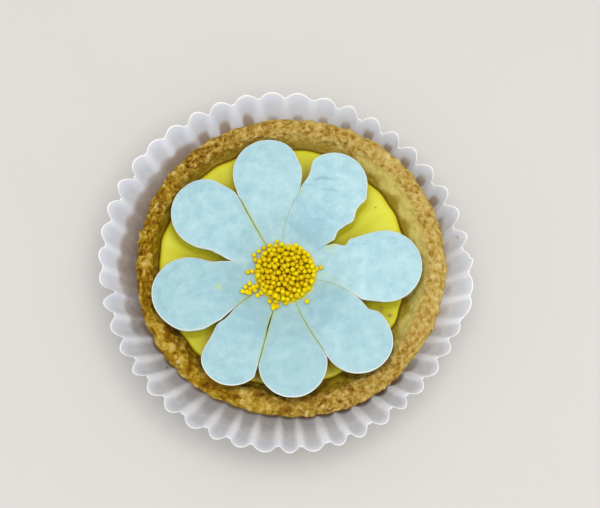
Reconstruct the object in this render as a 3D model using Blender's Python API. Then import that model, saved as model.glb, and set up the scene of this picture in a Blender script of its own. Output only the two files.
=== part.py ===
"""A lemon tart in its fluted paper case: crumbly crust, lemon curd, a daisy of eight piped cream petals
and a heap of round yellow sprinkles at its heart.

Metres, +Z up. The origin is the middle of the case's underside. Plan directions are in degrees,
anticlockwise from +X seen from above.
"""

import math
import random

import bmesh
import bpy
from mathutils import Vector, noise

MM = 0.001
GAP = 0.3 * MM  # clear space between pieces that rest on each other

# Paper case
CASE_HEIGHT = 21.0 * MM
CASE_PAPER = 0.4 * MM
CASE_BASE_RADIUS = 47.0 * MM
CASE_RIM_RADIUS = 65.3 * MM
CASE_BULGE = 1.2 * MM  # how far the wall stands outside a straight cone, halfway up
FLUTES = 45
FLUTE_DEPTH_RIM = 2.6 * MM
FLUTE_DEPTH_BASE = 0.8 * MM
FLUTE_ROUNDING = 2.2  # power of the lobe: higher is a flatter lobe with a sharper crease
FLUTE_STEPS = 4  # points a flute
FLUTE_START = 90.0  # direction of the crease that the others are counted from
FLUTE_DRIFT = ((1, 2.1, 218.6), (2, 0.8, 284.0))  # harmonic, shift of the creases in degrees, direction
RIM_OUT_OF_ROUND = ((2, 0.85 * MM, 300.0), (3, 0.55 * MM, 17.0), (4, 0.30 * MM, 178.0), (5, 0.25 * MM, 8.0))
RIM_WAVE = ((3, 0.35 * MM, 40.0), (7, 0.25 * MM, 10.0))  # the rim's height, up and down
FLUTE_CHANGES = (  # direction, half width in degrees, share of the usual depth
    (90.0, 15.0, 0.55),
    (137.0, 6.0, 0.45),
    (178.0, 6.0, 0.40),
    (187.0, 3.0, 1.90),
    (353.0, 13.0, 0.35),
)
RIM_BULGES = ((351.0, 10.0, 1.5 * MM),)  # direction, half width in degrees, how far the rim stands out

# Crust
CRUST_CENTRE = Vector((2.6 * MM, 0.6 * MM))
CRUST_RADIUS = 54.3 * MM
CRUST_FOOT_RADIUS = 42.4 * MM
CRUST_FOOT = CASE_PAPER + GAP
CRUST_TOP = 26.2 * MM
CRUST_OUT_OF_ROUND = ((2, 0.12 * MM, 128.0), (4, 0.22 * MM, 36.0), (5, 0.08 * MM, 66.0))
CRUST_SHOULDER = 2.6 * MM  # drop of the rounded outer edge
CRUST_SHOULDER_WIDTH = 0.25  # share of the ring's width that the rounding takes
CRUST_STEPS = 104
CRUST_CRAG = 0.55 * MM
CRUST_CRAG_SIZE = 4.2 * MM
CRAG_OUTWARD = 0.6  # share of a crag's height that also pushes the surface outward
CRUST_WALL_RINGS = ((0.0, 0.0), (0.35, 0.3), (0.72, 0.5))  # climb up the wall, share of the crags' size
WALL_CURVE = 0.9  # power of the climb that the wall's radius follows: below 1 it bows outward
CRUST_TOP_RINGS = (  # way across the top from the outer edge to the curd, share of the crags' size
    (0.0, 0.8),
    (0.12, 1.0),
    (0.30, 1.0),
    (0.48, 1.0),
    (0.66, 0.6),
    (0.84, 0.35),
    (1.0, 0.0),
)
CREST_END_RIGHT = 0.34  # share of the ring's width that is level before it slopes down to the curd
CREST_END_LEFT = 0.60
CREST_RIGHT = 5.0  # direction in which the level part is narrowest
DENT_DEPTH = 0.45 * MM  # fingertip dents along the inner slope
DENTS = 26

# Lemon curd
CURD_CENTRE = Vector((0.0, 1.2 * MM))
CURD_RADIUS = 43.5 * MM
CURD_TOP = 22.4 * MM
CURD_DEPTH = 12.0 * MM
CURD_PROUD = 0.4 * MM  # how far the curd stands above the crust's inner edge
CURD_FOOT_SHARE = 0.93  # radius at its underside, as a share of the radius at its top
CURD_CLEAR = 1.6 * GAP  # between the curd's side and the crust
CURD_RINGS = (  # share of the radius, height
    (CURD_FOOT_SHARE, CURD_TOP - CURD_DEPTH),
    (1.0, CURD_TOP - 0.2 * MM),
    (0.985, CURD_TOP),
)
CURD_STEPS = 56

# Cream petals, each a round head joined by straight flanks to a narrow root
DAISY_CENTRE = Vector((0.3 * MM, -2.5 * MM))
PETALS = (  # direction of the head, its distance from the daisy's heart, its radius
    (5.0, 35.2 * MM, 13.0 * MM),
    (60.6, 36.5 * MM, 11.7 * MM),
    (98.6, 37.1 * MM, 12.5 * MM),
    (140.5, 35.0 * MM, 12.6 * MM),
    (191.6, 34.2 * MM, 13.2 * MM),
    (238.1, 34.4 * MM, 11.0 * MM),
    (275.0, 32.8 * MM, 11.8 * MM),
    (317.6, 34.9 * MM, 12.3 * MM),
)
SEAM_ENDS = (15.0 * MM, 30.0 * MM)  # distances from the heart at which the seams' directions are given
SEAMS = (  # after each petal, where it meets the next
    (36.0, 36.0),
    (92.0, 80.0),
    (121.0, 119.5),
    (165.0, 165.0),
    (213.5, 217.5),
    (254.0, 254.5),
    (291.5, 296.5),
    (350.0, 343.0),
)
WAIST = (16.0 * MM, 9.0 * MM)  # distance from the heart and half width where a petal leaves its neighbours
ROOT = (3.0 * MM, 2.9 * MM)  # the same at its inner end
SPINE_START = 6.0 * MM  # distance from the heart at which the ridge along a petal begins
PETAL_CIRCLES = 16  # circles whose union is a petal's outline, from root to waist and from waist to head
ROOT_THICKNESS = 3.5 * MM
HEAD_THICKNESS = 7.6 * MM
ROOT_END = 11.8 * MM  # distances over which a petal thickens from root to head
HEAD_BEGIN = 27.0 * MM
PETAL_LIFT = 0.55 * MM  # clear of the curd and the crust's slope
PETAL_STEPS = 26
OUTLINE_STEPS = 120  # points down each flank before the outline is spaced evenly
PETAL_PROFILE = (  # share of the outline, share of the thickness, from the underside's middle to the top
    (0.55, 0.0),
    (0.90, 0.0),
    (1.00, 0.26),
    (0.985, 0.56),
    (0.90, 0.82),
    (0.66, 0.96),
    (0.30, 1.00),
)
SEAM_HALF_GAP = 0.16 * MM
PETAL_WOBBLE = 0.28 * MM
PETAL_WOBBLE_SIZE = 6.0 * MM
WOBBLE_BEGINS = 4.0 * MM  # distance past the root's end over which it grows to its full size

# Sprinkles
HEAP_CENTRE = Vector((0.7 * MM, -3.2 * MM))
HEAP_RADIUS = 10.0 * MM
HEAP_EDGE_WOBBLE = 0.5 * MM
HEAP_EDGE_WOBBLE_SIZE = 3.0 * MM
HEAP_CORE_RADIUS = 9.8 * MM
HEAP_CORE_FOOT = 0.96  # radius of its underside, as a share
HEAP_CORE_RINGS = (1.0, 0.8, 0.55, 0.28)  # radii of the rings of its top, as shares
HEAP_CORE_STEPS = 28
HEAP_EDGE = 0.9 * MM  # thickness of the core at its rim
HEAP_RISE = 1.9 * MM
SPRINKLE_RADIUS = 0.90 * MM
SPRINKLE_PITCH = 1.84 * MM
SPRINKLE_JITTER = 0.06 * MM
SPRINKLE_SINK = 0.25 * MM  # from the core's surface up to a sprinkle's middle
TRAIL_START = 9.6 * MM
TRAIL_PITCH = 1.30 * MM
SPRINKLE_TRAILS = (  # direction, distance of the last from the heap's middle: sprinkles that strayed
    (178.0, 12.9 * MM),
    (215.0, 15.4 * MM),
    (205.0, 13.9 * MM),
    (238.0, 12.0 * MM),
    (8.0, 12.4 * MM),
    (306.0, 12.2 * MM),
    (106.0, 11.4 * MM),
)
SEED = 11

# Finishes: slot, colour, roughness
PAPER_FINISH = ("white_paper", (0.66, 0.66, 0.68), 0.75)
CRUST_FINISH = ("shortcrust", (0.46, 0.30, 0.07), 0.85)
CURD_FINISH = ("lemon_curd", (0.60, 0.55, 0.045), 0.35)
CREAM_FINISH = ("piped_cream", (0.55, 0.74, 0.80), 0.5)
SUGAR_FINISH = ("yellow_sugar", (0.72, 0.50, 0.01), 0.35)


def clear_scene():
    for obj in list(bpy.data.objects):
        bpy.data.objects.remove(obj, do_unlink=True)


def material(name, colour, roughness):
    finish = bpy.data.materials.new(name)
    finish.use_nodes = True
    shader = finish.node_tree.nodes["Principled BSDF"]
    shader.inputs["Base Color"].default_value = (*colour, 1.0)
    shader.inputs["Roughness"].default_value = roughness
    shader.inputs["Metallic"].default_value = 0.0
    return finish


def direction(degrees):
    return Vector((math.cos(math.radians(degrees)), math.sin(math.radians(degrees))))


def bearing(offset):
    return math.degrees(math.atan2(offset.y, offset.x)) % 360.0


def turn_between(first, second):
    """The smaller angle between two directions, in degrees."""
    return abs((first - second + 180.0) % 360.0 - 180.0)


def nearest_turn(degrees, other):
    """The same direction, written as the angle nearest to other."""
    return other + (degrees - other + 180.0) % 360.0 - 180.0


def ease(share):
    """0 to 1 with level ends."""
    share = min(max(share, 0.0), 1.0)
    return share * share * (3.0 - 2.0 * share)


def harmonics(waves, degrees):
    """The sum of the waves, each a count round the circle, an amplitude and the direction of a crest."""
    return sum(size * math.cos(math.radians(count * (degrees - crest))) for count, size, crest in waves)


def cap(shape, loop, middle):
    """Closes a loop with faces that follow it: a fan to middle, or flat triangles where middle is None."""
    if middle is None:
        bmesh.ops.triangulate(shape, faces=[shape.faces.new(loop)], ngon_method="BEAUTY")
        return
    hub = shape.verts.new(middle)
    for first, second in zip(loop, loop[1:] + loop[:1]):
        shape.faces.new((first, second, hub))


def solid_of_rings(name, low_middle, rings, high_middle, finish):
    """A closed solid: a cap below, walls from ring to ring, and a cap on top."""
    shape = bmesh.new()
    loops = [[shape.verts.new(point) for point in ring] for ring in rings]
    for inner, outer in zip(loops, loops[1:]):
        for i, j in zip(range(len(inner)), [*range(1, len(inner)), 0]):
            shape.faces.new((inner[i], inner[j], outer[j]))
            shape.faces.new((inner[i], outer[j], outer[i]))
    cap(shape, loops[0][::-1], low_middle)
    cap(shape, loops[-1], high_middle)
    mesh = bpy.data.meshes.new(name)
    shape.to_mesh(mesh)
    shape.free()
    mesh.materials.append(finish)
    mesh.shade_smooth()
    mesh.set_sharp_from_angle(angle=math.radians(40.0))
    obj = bpy.data.objects.new(name, mesh)
    bpy.context.scene.collection.objects.link(obj)
    return obj


# ---------------------------------------------------------------- paper case


def crease_direction(index):
    even = FLUTE_START + 360.0 * index / FLUTES
    return even + harmonics(FLUTE_DRIFT, even)


def flute_share(degrees):
    """How deep the flutes are in this direction, as a share of the usual depth."""
    share = 1.0
    for where, half_width, factor in FLUTE_CHANGES:
        near = 1.0 - turn_between(degrees, where) / (1.6 * half_width)
        share *= 1.0 + (factor - 1.0) * ease(1.8 * near)
    return share


def bulge(degrees):
    out = 0.0
    for where, half_width, size in RIM_BULGES:
        out += size * ease(1.0 - turn_between(degrees, where) / half_width)
    return out


def flute_points():
    """Direction and lobe height, 0 at a crease to 1 at the top of a lobe, for each point of a case ring."""
    points = []
    for index in range(FLUTES):
        start, end = crease_direction(index), crease_direction(index + 1)
        for step in range(FLUTE_STEPS):
            share = step / FLUTE_STEPS
            lobe = 1.0 - abs(2.0 * share - 1.0) ** FLUTE_ROUNDING
            points.append((start + (end - start) * share, lobe))
    return points


def case_ring(points, climb, inset):
    """A ring of the case's wall: climb is 0 at the floor and 1 at the rim."""
    ring = []
    depth = FLUTE_DEPTH_BASE + (FLUTE_DEPTH_RIM - FLUTE_DEPTH_BASE) * climb
    lobe_radius = CASE_BASE_RADIUS + (CASE_RIM_RADIUS - CASE_BASE_RADIUS) * climb
    lobe_radius += CASE_BULGE * math.sin(math.pi * climb)
    for degrees, lobe in points:
        radius = lobe_radius + (harmonics(RIM_OUT_OF_ROUND, degrees) + bulge(degrees)) * climb
        radius -= depth * flute_share(degrees) * (1.0 - lobe) + inset
        height = (CASE_HEIGHT + harmonics(RIM_WAVE, degrees)) * climb
        spot = radius * direction(degrees)
        ring.append((spot.x, spot.y, height))
    return ring


def build_case():
    points = flute_points()
    climbs = (0.0, 0.5, 1.0)
    outer = [case_ring(points, climb, 0.0) for climb in climbs]
    inner = [case_ring(points, climb, CASE_PAPER) for climb in climbs]
    inner[0] = [(x, y, CASE_PAPER) for x, y, z in inner[0]]
    finish = material(*PAPER_FINISH)
    return solid_of_rings("paper_case", (0, 0, 0), outer + inner[::-1], (0, 0, CASE_PAPER), finish)


# ---------------------------------------------------------------- crust and curd


def crust_edge(degrees):
    return CRUST_RADIUS + harmonics(CRUST_OUT_OF_ROUND, degrees)


def curd_edge(degrees):
    """Distance from the crust's centre to the curd's edge in this direction."""
    towards = direction(degrees)
    offset = CURD_CENTRE - CRUST_CENTRE
    along = offset.dot(towards)
    return along + math.sqrt(CURD_RADIUS**2 - offset.length_squared + along**2)


def crest_end(degrees):
    right = 0.5 + 0.5 * math.cos(math.radians(degrees - CREST_RIGHT))
    return CREST_END_LEFT + (CREST_END_RIGHT - CREST_END_LEFT) * ease(right)


def crust_height(degrees, across):
    """Height of the crust's top, across its ring from 0 at the outer edge to 1 at the curd."""
    end = crest_end(degrees)
    height = CRUST_TOP
    if across < CRUST_SHOULDER_WIDTH:
        height -= CRUST_SHOULDER * (1.0 - across / CRUST_SHOULDER_WIDTH) ** 2
    slope = ease((across - end) / (1.0 - end))
    height -= (CRUST_TOP - CURD_TOP + CURD_PROUD) * slope
    dent = math.sin(math.radians(0.5 * DENTS * degrees)) ** 2
    return height - DENT_DEPTH * dent * math.sin(math.pi * ease(across))


def crag(point, size):
    """Uneven lumps of crumb, as a length along the surface's outward direction."""
    place = Vector(point) / CRUST_CRAG_SIZE
    lumps = noise.noise(place) + 0.6 * noise.noise(2.3 * place + Vector((5.0, 3.0, 1.0)))
    return size * lumps


def crust_ring(distance_of, height_of, crag_size):
    ring = []
    for step in range(CRUST_STEPS):
        degrees = 360.0 * step / CRUST_STEPS
        spot = CRUST_CENTRE + distance_of(degrees) * direction(degrees)
        height = height_of(degrees)
        lump = crag((spot.x, spot.y, height), crag_size)
        spot += CRAG_OUTWARD * lump * direction(degrees)
        ring.append((spot.x, spot.y, height + lump))
    return ring


def wall_ring(climb, crag_size):
    """A ring of the crust's outer wall: climb is 0 at its foot and 1 at its shoulder."""
    shoulder = CRUST_TOP - CRUST_SHOULDER
    height = CRUST_FOOT + (shoulder - CRUST_FOOT) * climb
    return crust_ring(
        lambda degrees: CRUST_FOOT_RADIUS + (crust_edge(degrees) - CRUST_FOOT_RADIUS) * climb**WALL_CURVE,
        lambda _: height,
        crag_size,
    )


def top_ring(across, crag_size):
    return crust_ring(
        lambda degrees: crust_edge(degrees) + (curd_edge(degrees) - crust_edge(degrees)) * across,
        lambda degrees: crust_height(degrees, across),
        crag_size,
    )


def build_crust():
    recess = CURD_TOP - CURD_DEPTH - GAP
    rings = [wall_ring(climb, share * CRUST_CRAG) for climb, share in CRUST_WALL_RINGS]
    rings += [top_ring(across, share * CRUST_CRAG) for across, share in CRUST_TOP_RINGS]
    rings.append(crust_ring(lambda degrees: CURD_FOOT_SHARE * curd_edge(degrees), lambda _: recess, 0.0))
    low, high = (*CRUST_CENTRE, CRUST_FOOT), (*CRUST_CENTRE, recess)
    return solid_of_rings("crust", low, rings, high, material(*CRUST_FINISH))


def build_curd():
    rings = []
    for share, height in CURD_RINGS:
        ring = []
        for step in range(CURD_STEPS):
            degrees = 360.0 * step / CURD_STEPS
            distance = share * curd_edge(degrees) - CURD_CLEAR
            spot = CRUST_CENTRE + distance * direction(degrees)
            ring.append((spot.x, spot.y, height))
        rings.append(ring)
    low, high = (*CRUST_CENTRE, CURD_TOP - CURD_DEPTH), (*CRUST_CENTRE, CURD_TOP)
    return solid_of_rings("lemon_curd", low, rings, high, material(*CURD_FINISH))


# ---------------------------------------------------------------- cream petals


def support(spot):
    """Height of what lies under the cream at this spot of the plan."""
    offset = spot - CRUST_CENTRE
    degrees = bearing(offset)
    outer, inner = crust_edge(degrees), curd_edge(degrees)
    across = (outer - offset.length) / (outer - inner)
    if across >= 1.0:
        return CURD_TOP
    return max(CURD_TOP, crust_height(degrees, max(across, 0.0)))


def cream_top(spot):
    """Height of the cream's upper side, low over the roots and full over the heads."""
    distance = (spot - DAISY_CENTRE).length
    share = ease((distance - ROOT_END) / (HEAD_BEGIN - ROOT_END))
    return CURD_TOP + PETAL_LIFT + ROOT_THICKNESS + (HEAD_THICKNESS - ROOT_THICKNESS) * share


def wobble_share(spot):
    """How much of the cream's unevenness shows here: none under the sprinkles, all of it further out."""
    return ease(((spot - DAISY_CENTRE).length - ROOT_END) / WOBBLE_BEGINS)


def seam_direction(seam, distance):
    inner, outer = seam
    near, far = SEAM_ENDS
    return inner + (outer - inner) * min(max((distance - near) / (far - near), 0.0), 1.0)


def half_angle(distance, head):
    """Half the angle, seen from the heart, that a petal covers at this distance if nothing stops it."""
    widest = 0.0
    for (near, near_radius), (far, far_radius) in ((ROOT, WAIST), (WAIST, head)):
        for step in range(PETAL_CIRCLES + 1):
            share = step / PETAL_CIRCLES
            middle = near + (far - near) * share
            radius = near_radius + (far_radius - near_radius) * share
            cosine = (distance**2 + middle**2 - radius**2) / (2.0 * distance * middle)
            if abs(cosine) <= 1.0:
                widest = max(widest, math.degrees(math.acos(cosine)))
    return widest


def resampled(points, count):
    """The same closed outline in evenly spaced points."""
    sides = [(second - first).length for first, second in zip(points, points[1:] + points[:1])]
    spacing = sum(sides) / count
    found, index, passed = [], 0, 0.0
    for step in range(count):
        while passed + sides[index] < step * spacing:
            passed += sides[index]
            index += 1
        share = (step * spacing - passed) / sides[index]
        found.append(points[index].lerp(points[(index + 1) % len(points)], share))
    return found


def petal_outline(index):
    """Evenly spaced points round a petal, anticlockwise. It stops at the seams with its neighbours."""
    axis, head_distance, head_radius = PETALS[index]
    before, after = SEAMS[index - 1], SEAMS[index]
    first, last = ROOT[0], head_distance + head_radius
    right, left = [], []
    for step in range(OUTLINE_STEPS):
        distance = last - (last - first) * (1.0 - step / OUTLINE_STEPS) ** 2
        spread = half_angle(distance, (head_distance, head_radius))
        clear = math.degrees(SEAM_HALF_GAP / distance)
        low = max(axis - spread, nearest_turn(seam_direction(before, distance), axis) + clear)
        high = min(axis + spread, nearest_turn(seam_direction(after, distance), axis) - clear)
        right.append(DAISY_CENTRE + distance * direction(low))
        left.append(DAISY_CENTRE + distance * direction(high))
    tip = DAISY_CENTRE + last * direction(axis)
    return resampled(right + [tip] + left[::-1], PETAL_STEPS)


def build_petal(index, finish):
    axis, head_distance, _ = PETALS[index]
    first = DAISY_CENTRE + SPINE_START * direction(axis)
    last = DAISY_CENTRE + head_distance * direction(axis)
    outline = petal_outline(index)
    rings = []
    for share, rise in PETAL_PROFILE:
        ring = []
        for spot in outline:
            along = min(max((spot - first).dot(direction(axis)) / (last - first).length, 0.0), 1.0)
            place = first.lerp(last, along).lerp(spot, share)
            low, high = support(place) + PETAL_LIFT, cream_top(place)
            ripple = PETAL_WOBBLE * noise.noise(Vector((place.x, place.y, index * MM)) / PETAL_WOBBLE_SIZE)
            height = low + (high - low + ripple * wobble_share(place)) * rise
            ring.append((place.x, place.y, height))
        rings.append(ring)
    return solid_of_rings(f"petal_{index + 1}", None, rings, None, finish)


# ---------------------------------------------------------------- sprinkles


def heap_floor():
    return CURD_TOP + PETAL_LIFT + ROOT_THICKNESS + GAP


def core_top(distance):
    share = min(distance / HEAP_CORE_RADIUS, 1.0)
    return heap_floor() + HEAP_EDGE + HEAP_RISE * (1.0 - share**2)


def core_ring(distance, height):
    turns = [360.0 * step / HEAP_CORE_STEPS for step in range(HEAP_CORE_STEPS)]
    return [(*(HEAP_CENTRE + distance * direction(turn)), height) for turn in turns]


def build_core(finish):
    rings = [core_ring(HEAP_CORE_FOOT * HEAP_CORE_RADIUS, heap_floor())]
    for share in HEAP_CORE_RINGS:
        rings.append(core_ring(share * HEAP_CORE_RADIUS, core_top(share * HEAP_CORE_RADIUS)))
    low, high = (*HEAP_CENTRE, heap_floor()), (*HEAP_CENTRE, core_top(0.0))
    return solid_of_rings("sprinkle_heap", low, rings, high, finish)


def sprinkle_spots():
    """Where the sprinkles lie: an uneven close packing over the heap, then the few that strayed."""
    draw = random.Random(SEED)
    row_step = SPRINKLE_PITCH * math.sqrt(0.75)
    rows = int(HEAP_RADIUS / row_step) + 1
    spots = []
    for row in range(-rows, rows + 1):
        for column in range(-rows, rows + 1):
            spot = Vector(((column + 0.5 * (row % 2)) * SPRINKLE_PITCH, row * row_step))
            spot += SPRINKLE_JITTER * Vector((draw.uniform(-1, 1), draw.uniform(-1, 1)))
            uneven = noise.noise(Vector((spot.x, spot.y, 0.0)) / HEAP_EDGE_WOBBLE_SIZE)
            edge = HEAP_RADIUS + HEAP_EDGE_WOBBLE * uneven
            if spot.length < edge:
                spots.append(spot)
    for degrees, last in SPRINKLE_TRAILS:
        count = math.ceil((last - TRAIL_START) / TRAIL_PITCH)
        for step in range(count + 1):
            distance = TRAIL_START + (last - TRAIL_START) * step / count
            spots.append(distance * direction(degrees))
    return spots


def sprinkle_height(spot):
    """Height of a sprinkle's middle at this offset from the heap's middle."""
    place = HEAP_CENTRE + spot
    over_core = core_top(spot.length) + SPRINKLE_SINK
    over_cream = cream_top(place) + PETAL_WOBBLE * wobble_share(place) + GAP + SPRINKLE_RADIUS
    return max(over_core, over_cream)


def build_sprinkle(index, spot, finish):
    draw = random.Random(SEED + index)
    shape = bmesh.new()
    bmesh.ops.create_icosphere(shape, subdivisions=1, radius=SPRINKLE_RADIUS)
    mesh = bpy.data.meshes.new(f"sprinkle_{index}")
    shape.to_mesh(mesh)
    shape.free()
    mesh.materials.append(finish)
    ball = bpy.data.objects.new(f"sprinkle_{index}", mesh)
    ball.location = (HEAP_CENTRE.x + spot.x, HEAP_CENTRE.y + spot.y, sprinkle_height(spot))
    ball.rotation_euler = (draw.uniform(-0.5, 0.5), draw.uniform(-0.5, 0.5), draw.uniform(0.0, math.tau))
    return ball


def without_scraps(mesh):
    """Keeps the mesh's largest connected body and drops what hangs on nothing."""
    shape = bmesh.new()
    shape.from_mesh(mesh)
    left, bodies = set(shape.verts), []
    while left:
        body, fresh = set(), [left.pop()]
        while fresh:
            vertex = fresh.pop()
            body.add(vertex)
            near = {edge.other_vert(vertex) for edge in vertex.link_edges} & left
            left -= near
            fresh.extend(near)
        bodies.append(body)
    largest = max(bodies, key=len)
    scraps = [vertex for body in bodies if body is not largest for vertex in body]
    bmesh.ops.delete(shape, geom=scraps, context="VERTS")
    shape.to_mesh(mesh)
    shape.free()
    return mesh


def build_heap():
    finish = material(*SUGAR_FINISH)
    core = build_core(finish)
    loose = bpy.data.collections.new("loose_sprinkles")
    bpy.context.scene.collection.children.link(loose)
    for index, spot in enumerate(sprinkle_spots()):
        loose.objects.link(build_sprinkle(index, spot, finish))
    join = core.modifiers.new("join", "BOOLEAN")
    join.operation = "UNION"
    join.operand_type = "COLLECTION"
    join.collection = loose
    join.solver = "EXACT"
    bpy.context.view_layer.update()
    joined = bpy.data.meshes.new_from_object(core.evaluated_get(bpy.context.evaluated_depsgraph_get()))
    core.modifiers.remove(join)
    core.data = without_scraps(joined)
    for ball in list(loose.objects):
        bpy.data.objects.remove(ball, do_unlink=True)
    bpy.data.collections.remove(loose)
    return core


def centre_plan(objects, case):
    """Moves every mesh so that the middle of the case's plan is the origin."""
    xs = [vertex.co.x for vertex in case.data.vertices]
    ys = [vertex.co.y for vertex in case.data.vertices]
    shift = Vector((-0.5 * (min(xs) + max(xs)), -0.5 * (min(ys) + max(ys)), 0.0))
    for obj in objects:
        for vertex in obj.data.vertices:
            vertex.co += shift


def main():
    clear_scene()
    case = build_case()
    pieces = [case, build_crust(), build_curd()]
    cream = material(*CREAM_FINISH)
    pieces += [build_petal(index, cream) for index in range(len(PETALS))]
    pieces.append(build_heap())
    centre_plan(pieces, case)


main()
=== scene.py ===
"""The looks of a lemon tart in its fluted paper case: crumbly shortcrust, set lemon curd, a daisy of eight
piped cream petals and a heap of round sugar sprinkles at its heart.

Metres, +Z up. Plan directions are in degrees, anticlockwise from +X seen from above. The tables of petals,
folds, seams, smears, strayed sprinkles and crumbs are in millimetres.
"""

import itertools
import logging
import math
import random
from dataclasses import dataclass, field
from enum import Enum
from typing import Any, Mapping, Sequence

import bmesh
import bpy
import numpy as np
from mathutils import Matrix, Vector, noise


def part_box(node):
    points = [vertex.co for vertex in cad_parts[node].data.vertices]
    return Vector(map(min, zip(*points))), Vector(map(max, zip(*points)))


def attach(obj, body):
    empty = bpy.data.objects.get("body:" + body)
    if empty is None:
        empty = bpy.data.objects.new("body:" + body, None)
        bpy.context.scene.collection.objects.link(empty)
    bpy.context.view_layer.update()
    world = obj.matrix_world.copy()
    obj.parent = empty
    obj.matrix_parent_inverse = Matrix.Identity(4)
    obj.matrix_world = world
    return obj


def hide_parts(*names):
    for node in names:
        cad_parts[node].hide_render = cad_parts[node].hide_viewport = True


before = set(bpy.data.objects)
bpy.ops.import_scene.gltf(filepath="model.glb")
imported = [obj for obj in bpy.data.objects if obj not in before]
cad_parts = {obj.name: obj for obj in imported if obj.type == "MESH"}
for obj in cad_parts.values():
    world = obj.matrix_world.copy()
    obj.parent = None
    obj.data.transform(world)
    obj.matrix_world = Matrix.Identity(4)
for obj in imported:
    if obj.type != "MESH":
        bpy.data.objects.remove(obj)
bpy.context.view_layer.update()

MM = 0.001
FAR = 1.0  # further apart than any two places on the tart
STUDIO_LIGHT = 1.28  # how much brighter the studio shows a level surface than its own colour
BODY = "root"
LOG = logging.getLogger("lemon_tart")

Array = np.ndarray
Material = bpy.types.Material
Piece = bpy.types.Object
Marks = Mapping[str, Array]  # numbers by name, one a point
Colour = tuple[float, float, float]
Place = tuple[float, float]
Waves = tuple[tuple[int, float, float], ...]  # count round the circle, amplitude, direction of a crest


# ---- numbers and directions


def tint(red: int, green: int, blue: int) -> Colour:
    """The colour of a level surface that the studio's light shows as this one.

    Args:
        red: Red, 0 to 255.
        green: Green, 0 to 255.
        blue: Blue, 0 to 255.

    Returns:
        The surface's own colour, linear, 0 to 1 a channel.
    """
    shares = (channel / 255.0 for channel in (red, green, blue))
    seen = (s / 12.92 if s <= 0.04045 else ((s + 0.055) / 1.055) ** 2.4 for s in shares)
    return tuple(s / STUDIO_LIGHT for s in seen)


def ease(share: Any) -> Any:
    """0 to 1 with level ends, for a number or an array."""
    share = np.clip(share, 0.0, 1.0)
    return share * share * (3.0 - 2.0 * share)


def hill(distance: Any, width: Any) -> Any:
    """1 at no distance, falling off as a bell curve of this width."""
    return np.exp(-((distance / width) ** 2))


def direction(degrees: Any) -> Array:
    """Unit vectors in the plan for directions in degrees."""
    turn = np.radians(degrees)
    return np.stack([np.cos(turn), np.sin(turn)], axis=-1)


def bearing(offsets: Array) -> Array:
    """Directions in degrees, 0 to 360, of vectors in the plan."""
    return np.degrees(np.arctan2(offsets[..., 1], offsets[..., 0])) % 360.0


def turn_between(first: Any, second: Any) -> Any:
    """The smaller angle between directions, in degrees."""
    return np.abs((first - second + 180.0) % 360.0 - 180.0)


def nearest_turn(degrees: float, other: float) -> float:
    """The same direction, written as the angle nearest to other."""
    return other + (degrees - other + 180.0) % 360.0 - 180.0


def round_trip(steps: int) -> Array:
    """Directions of even steps round the circle."""
    return 360.0 * np.arange(steps) / steps


def harmonics(waves: Waves, degrees: Any) -> Any:
    """The sum of waves round the circle at these directions."""
    return sum(size * np.cos(np.radians(count * (degrees - crest))) for count, size, crest in waves)


@dataclass(frozen=True)
class Sector:
    """A stretch of the circle: its middle, half its width and the width of each soft edge, in degrees."""

    where: float
    half_width: float
    soft: float
    strength: float = 1.0

    def share(self, degrees: Any) -> Any:
        """The sector's strength inside it, easing to 0 over its soft edges."""
        inside = (self.half_width + self.soft - turn_between(degrees, self.where)) / self.soft
        return self.strength * ease(inside)


def strongest(sectors: Sequence[Sector], degrees: Array) -> Array:
    """The strongest of some sectors in each of these directions."""
    return np.maximum.reduce([sector.share(degrees) for sector in sectors])


class Lumps:
    """Random lumps and grains in space, the same in every run."""

    CELLS = 256  # the lattice repeats after this many cells

    def __init__(self, seed: int) -> None:
        """Draws the lattice that the lumps follow.

        Args:
            seed: Start of the random draw.
        """
        draw = np.random.default_rng(seed)
        self.order = draw.permutation(self.CELLS)
        slopes = draw.normal(size=(self.CELLS, 3))
        self.slopes = slopes / np.linalg.norm(slopes, axis=1, keepdims=True)
        self.seats = draw.random((self.CELLS, 3))

    def _index(self, cells: Array) -> Array:
        """A repeatable number for each lattice cell.

        Args:
            cells: Whole numbers of the cells, one cell a row.

        Returns:
            Numbers from 0 to CELLS - 1.
        """
        first = self.order[cells[:, 0] % self.CELLS]
        second = self.order[(first + cells[:, 1]) % self.CELLS]
        return self.order[(second + cells[:, 2]) % self.CELLS]

    def soft(self, points: Array, size: float) -> Array:
        """Smooth lumps of about this size.

        Args:
            points: Points, one a row.
            size: Distance over which the lumps change.

        Returns:
            A number a point, about -0.7 to 0.7.
        """
        place = points / size
        cells = np.floor(place).astype(int)
        inside = place - cells
        blend = inside**3 * (inside * (inside * 6.0 - 15.0) + 10.0)
        total = np.zeros(len(points))
        for corner in itertools.product((0, 1), repeat=3):
            step = np.array(corner)
            weight = np.prod(np.where(step == 1, blend, 1.0 - blend), axis=1)
            slope = self.slopes[self._index(cells + step)]
            total += weight * np.sum(slope * (inside - step), axis=1)
        return total

    def grains(self, points: Array, size: float) -> Array:
        """Round grains of about this size, packed side by side.

        Args:
            points: Points, one a row.
            size: Distance from grain to grain.

        Returns:
            A number a point, 1 on top of a grain and about 0 between grains.
        """
        place = points / size
        cells = np.floor(place).astype(int)
        nearest = np.full(len(points), np.inf)
        for corner in itertools.product((-1, 0, 1), repeat=3):
            cell = cells + np.array(corner)
            seat = cell + self.seats[self._index(cell)]
            nearest = np.minimum(nearest, np.sum((place - seat) ** 2, axis=1))
        return np.clip(1.0 - np.sqrt(nearest), 0.0, 1.0)


# ---- shader arithmetic


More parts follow.
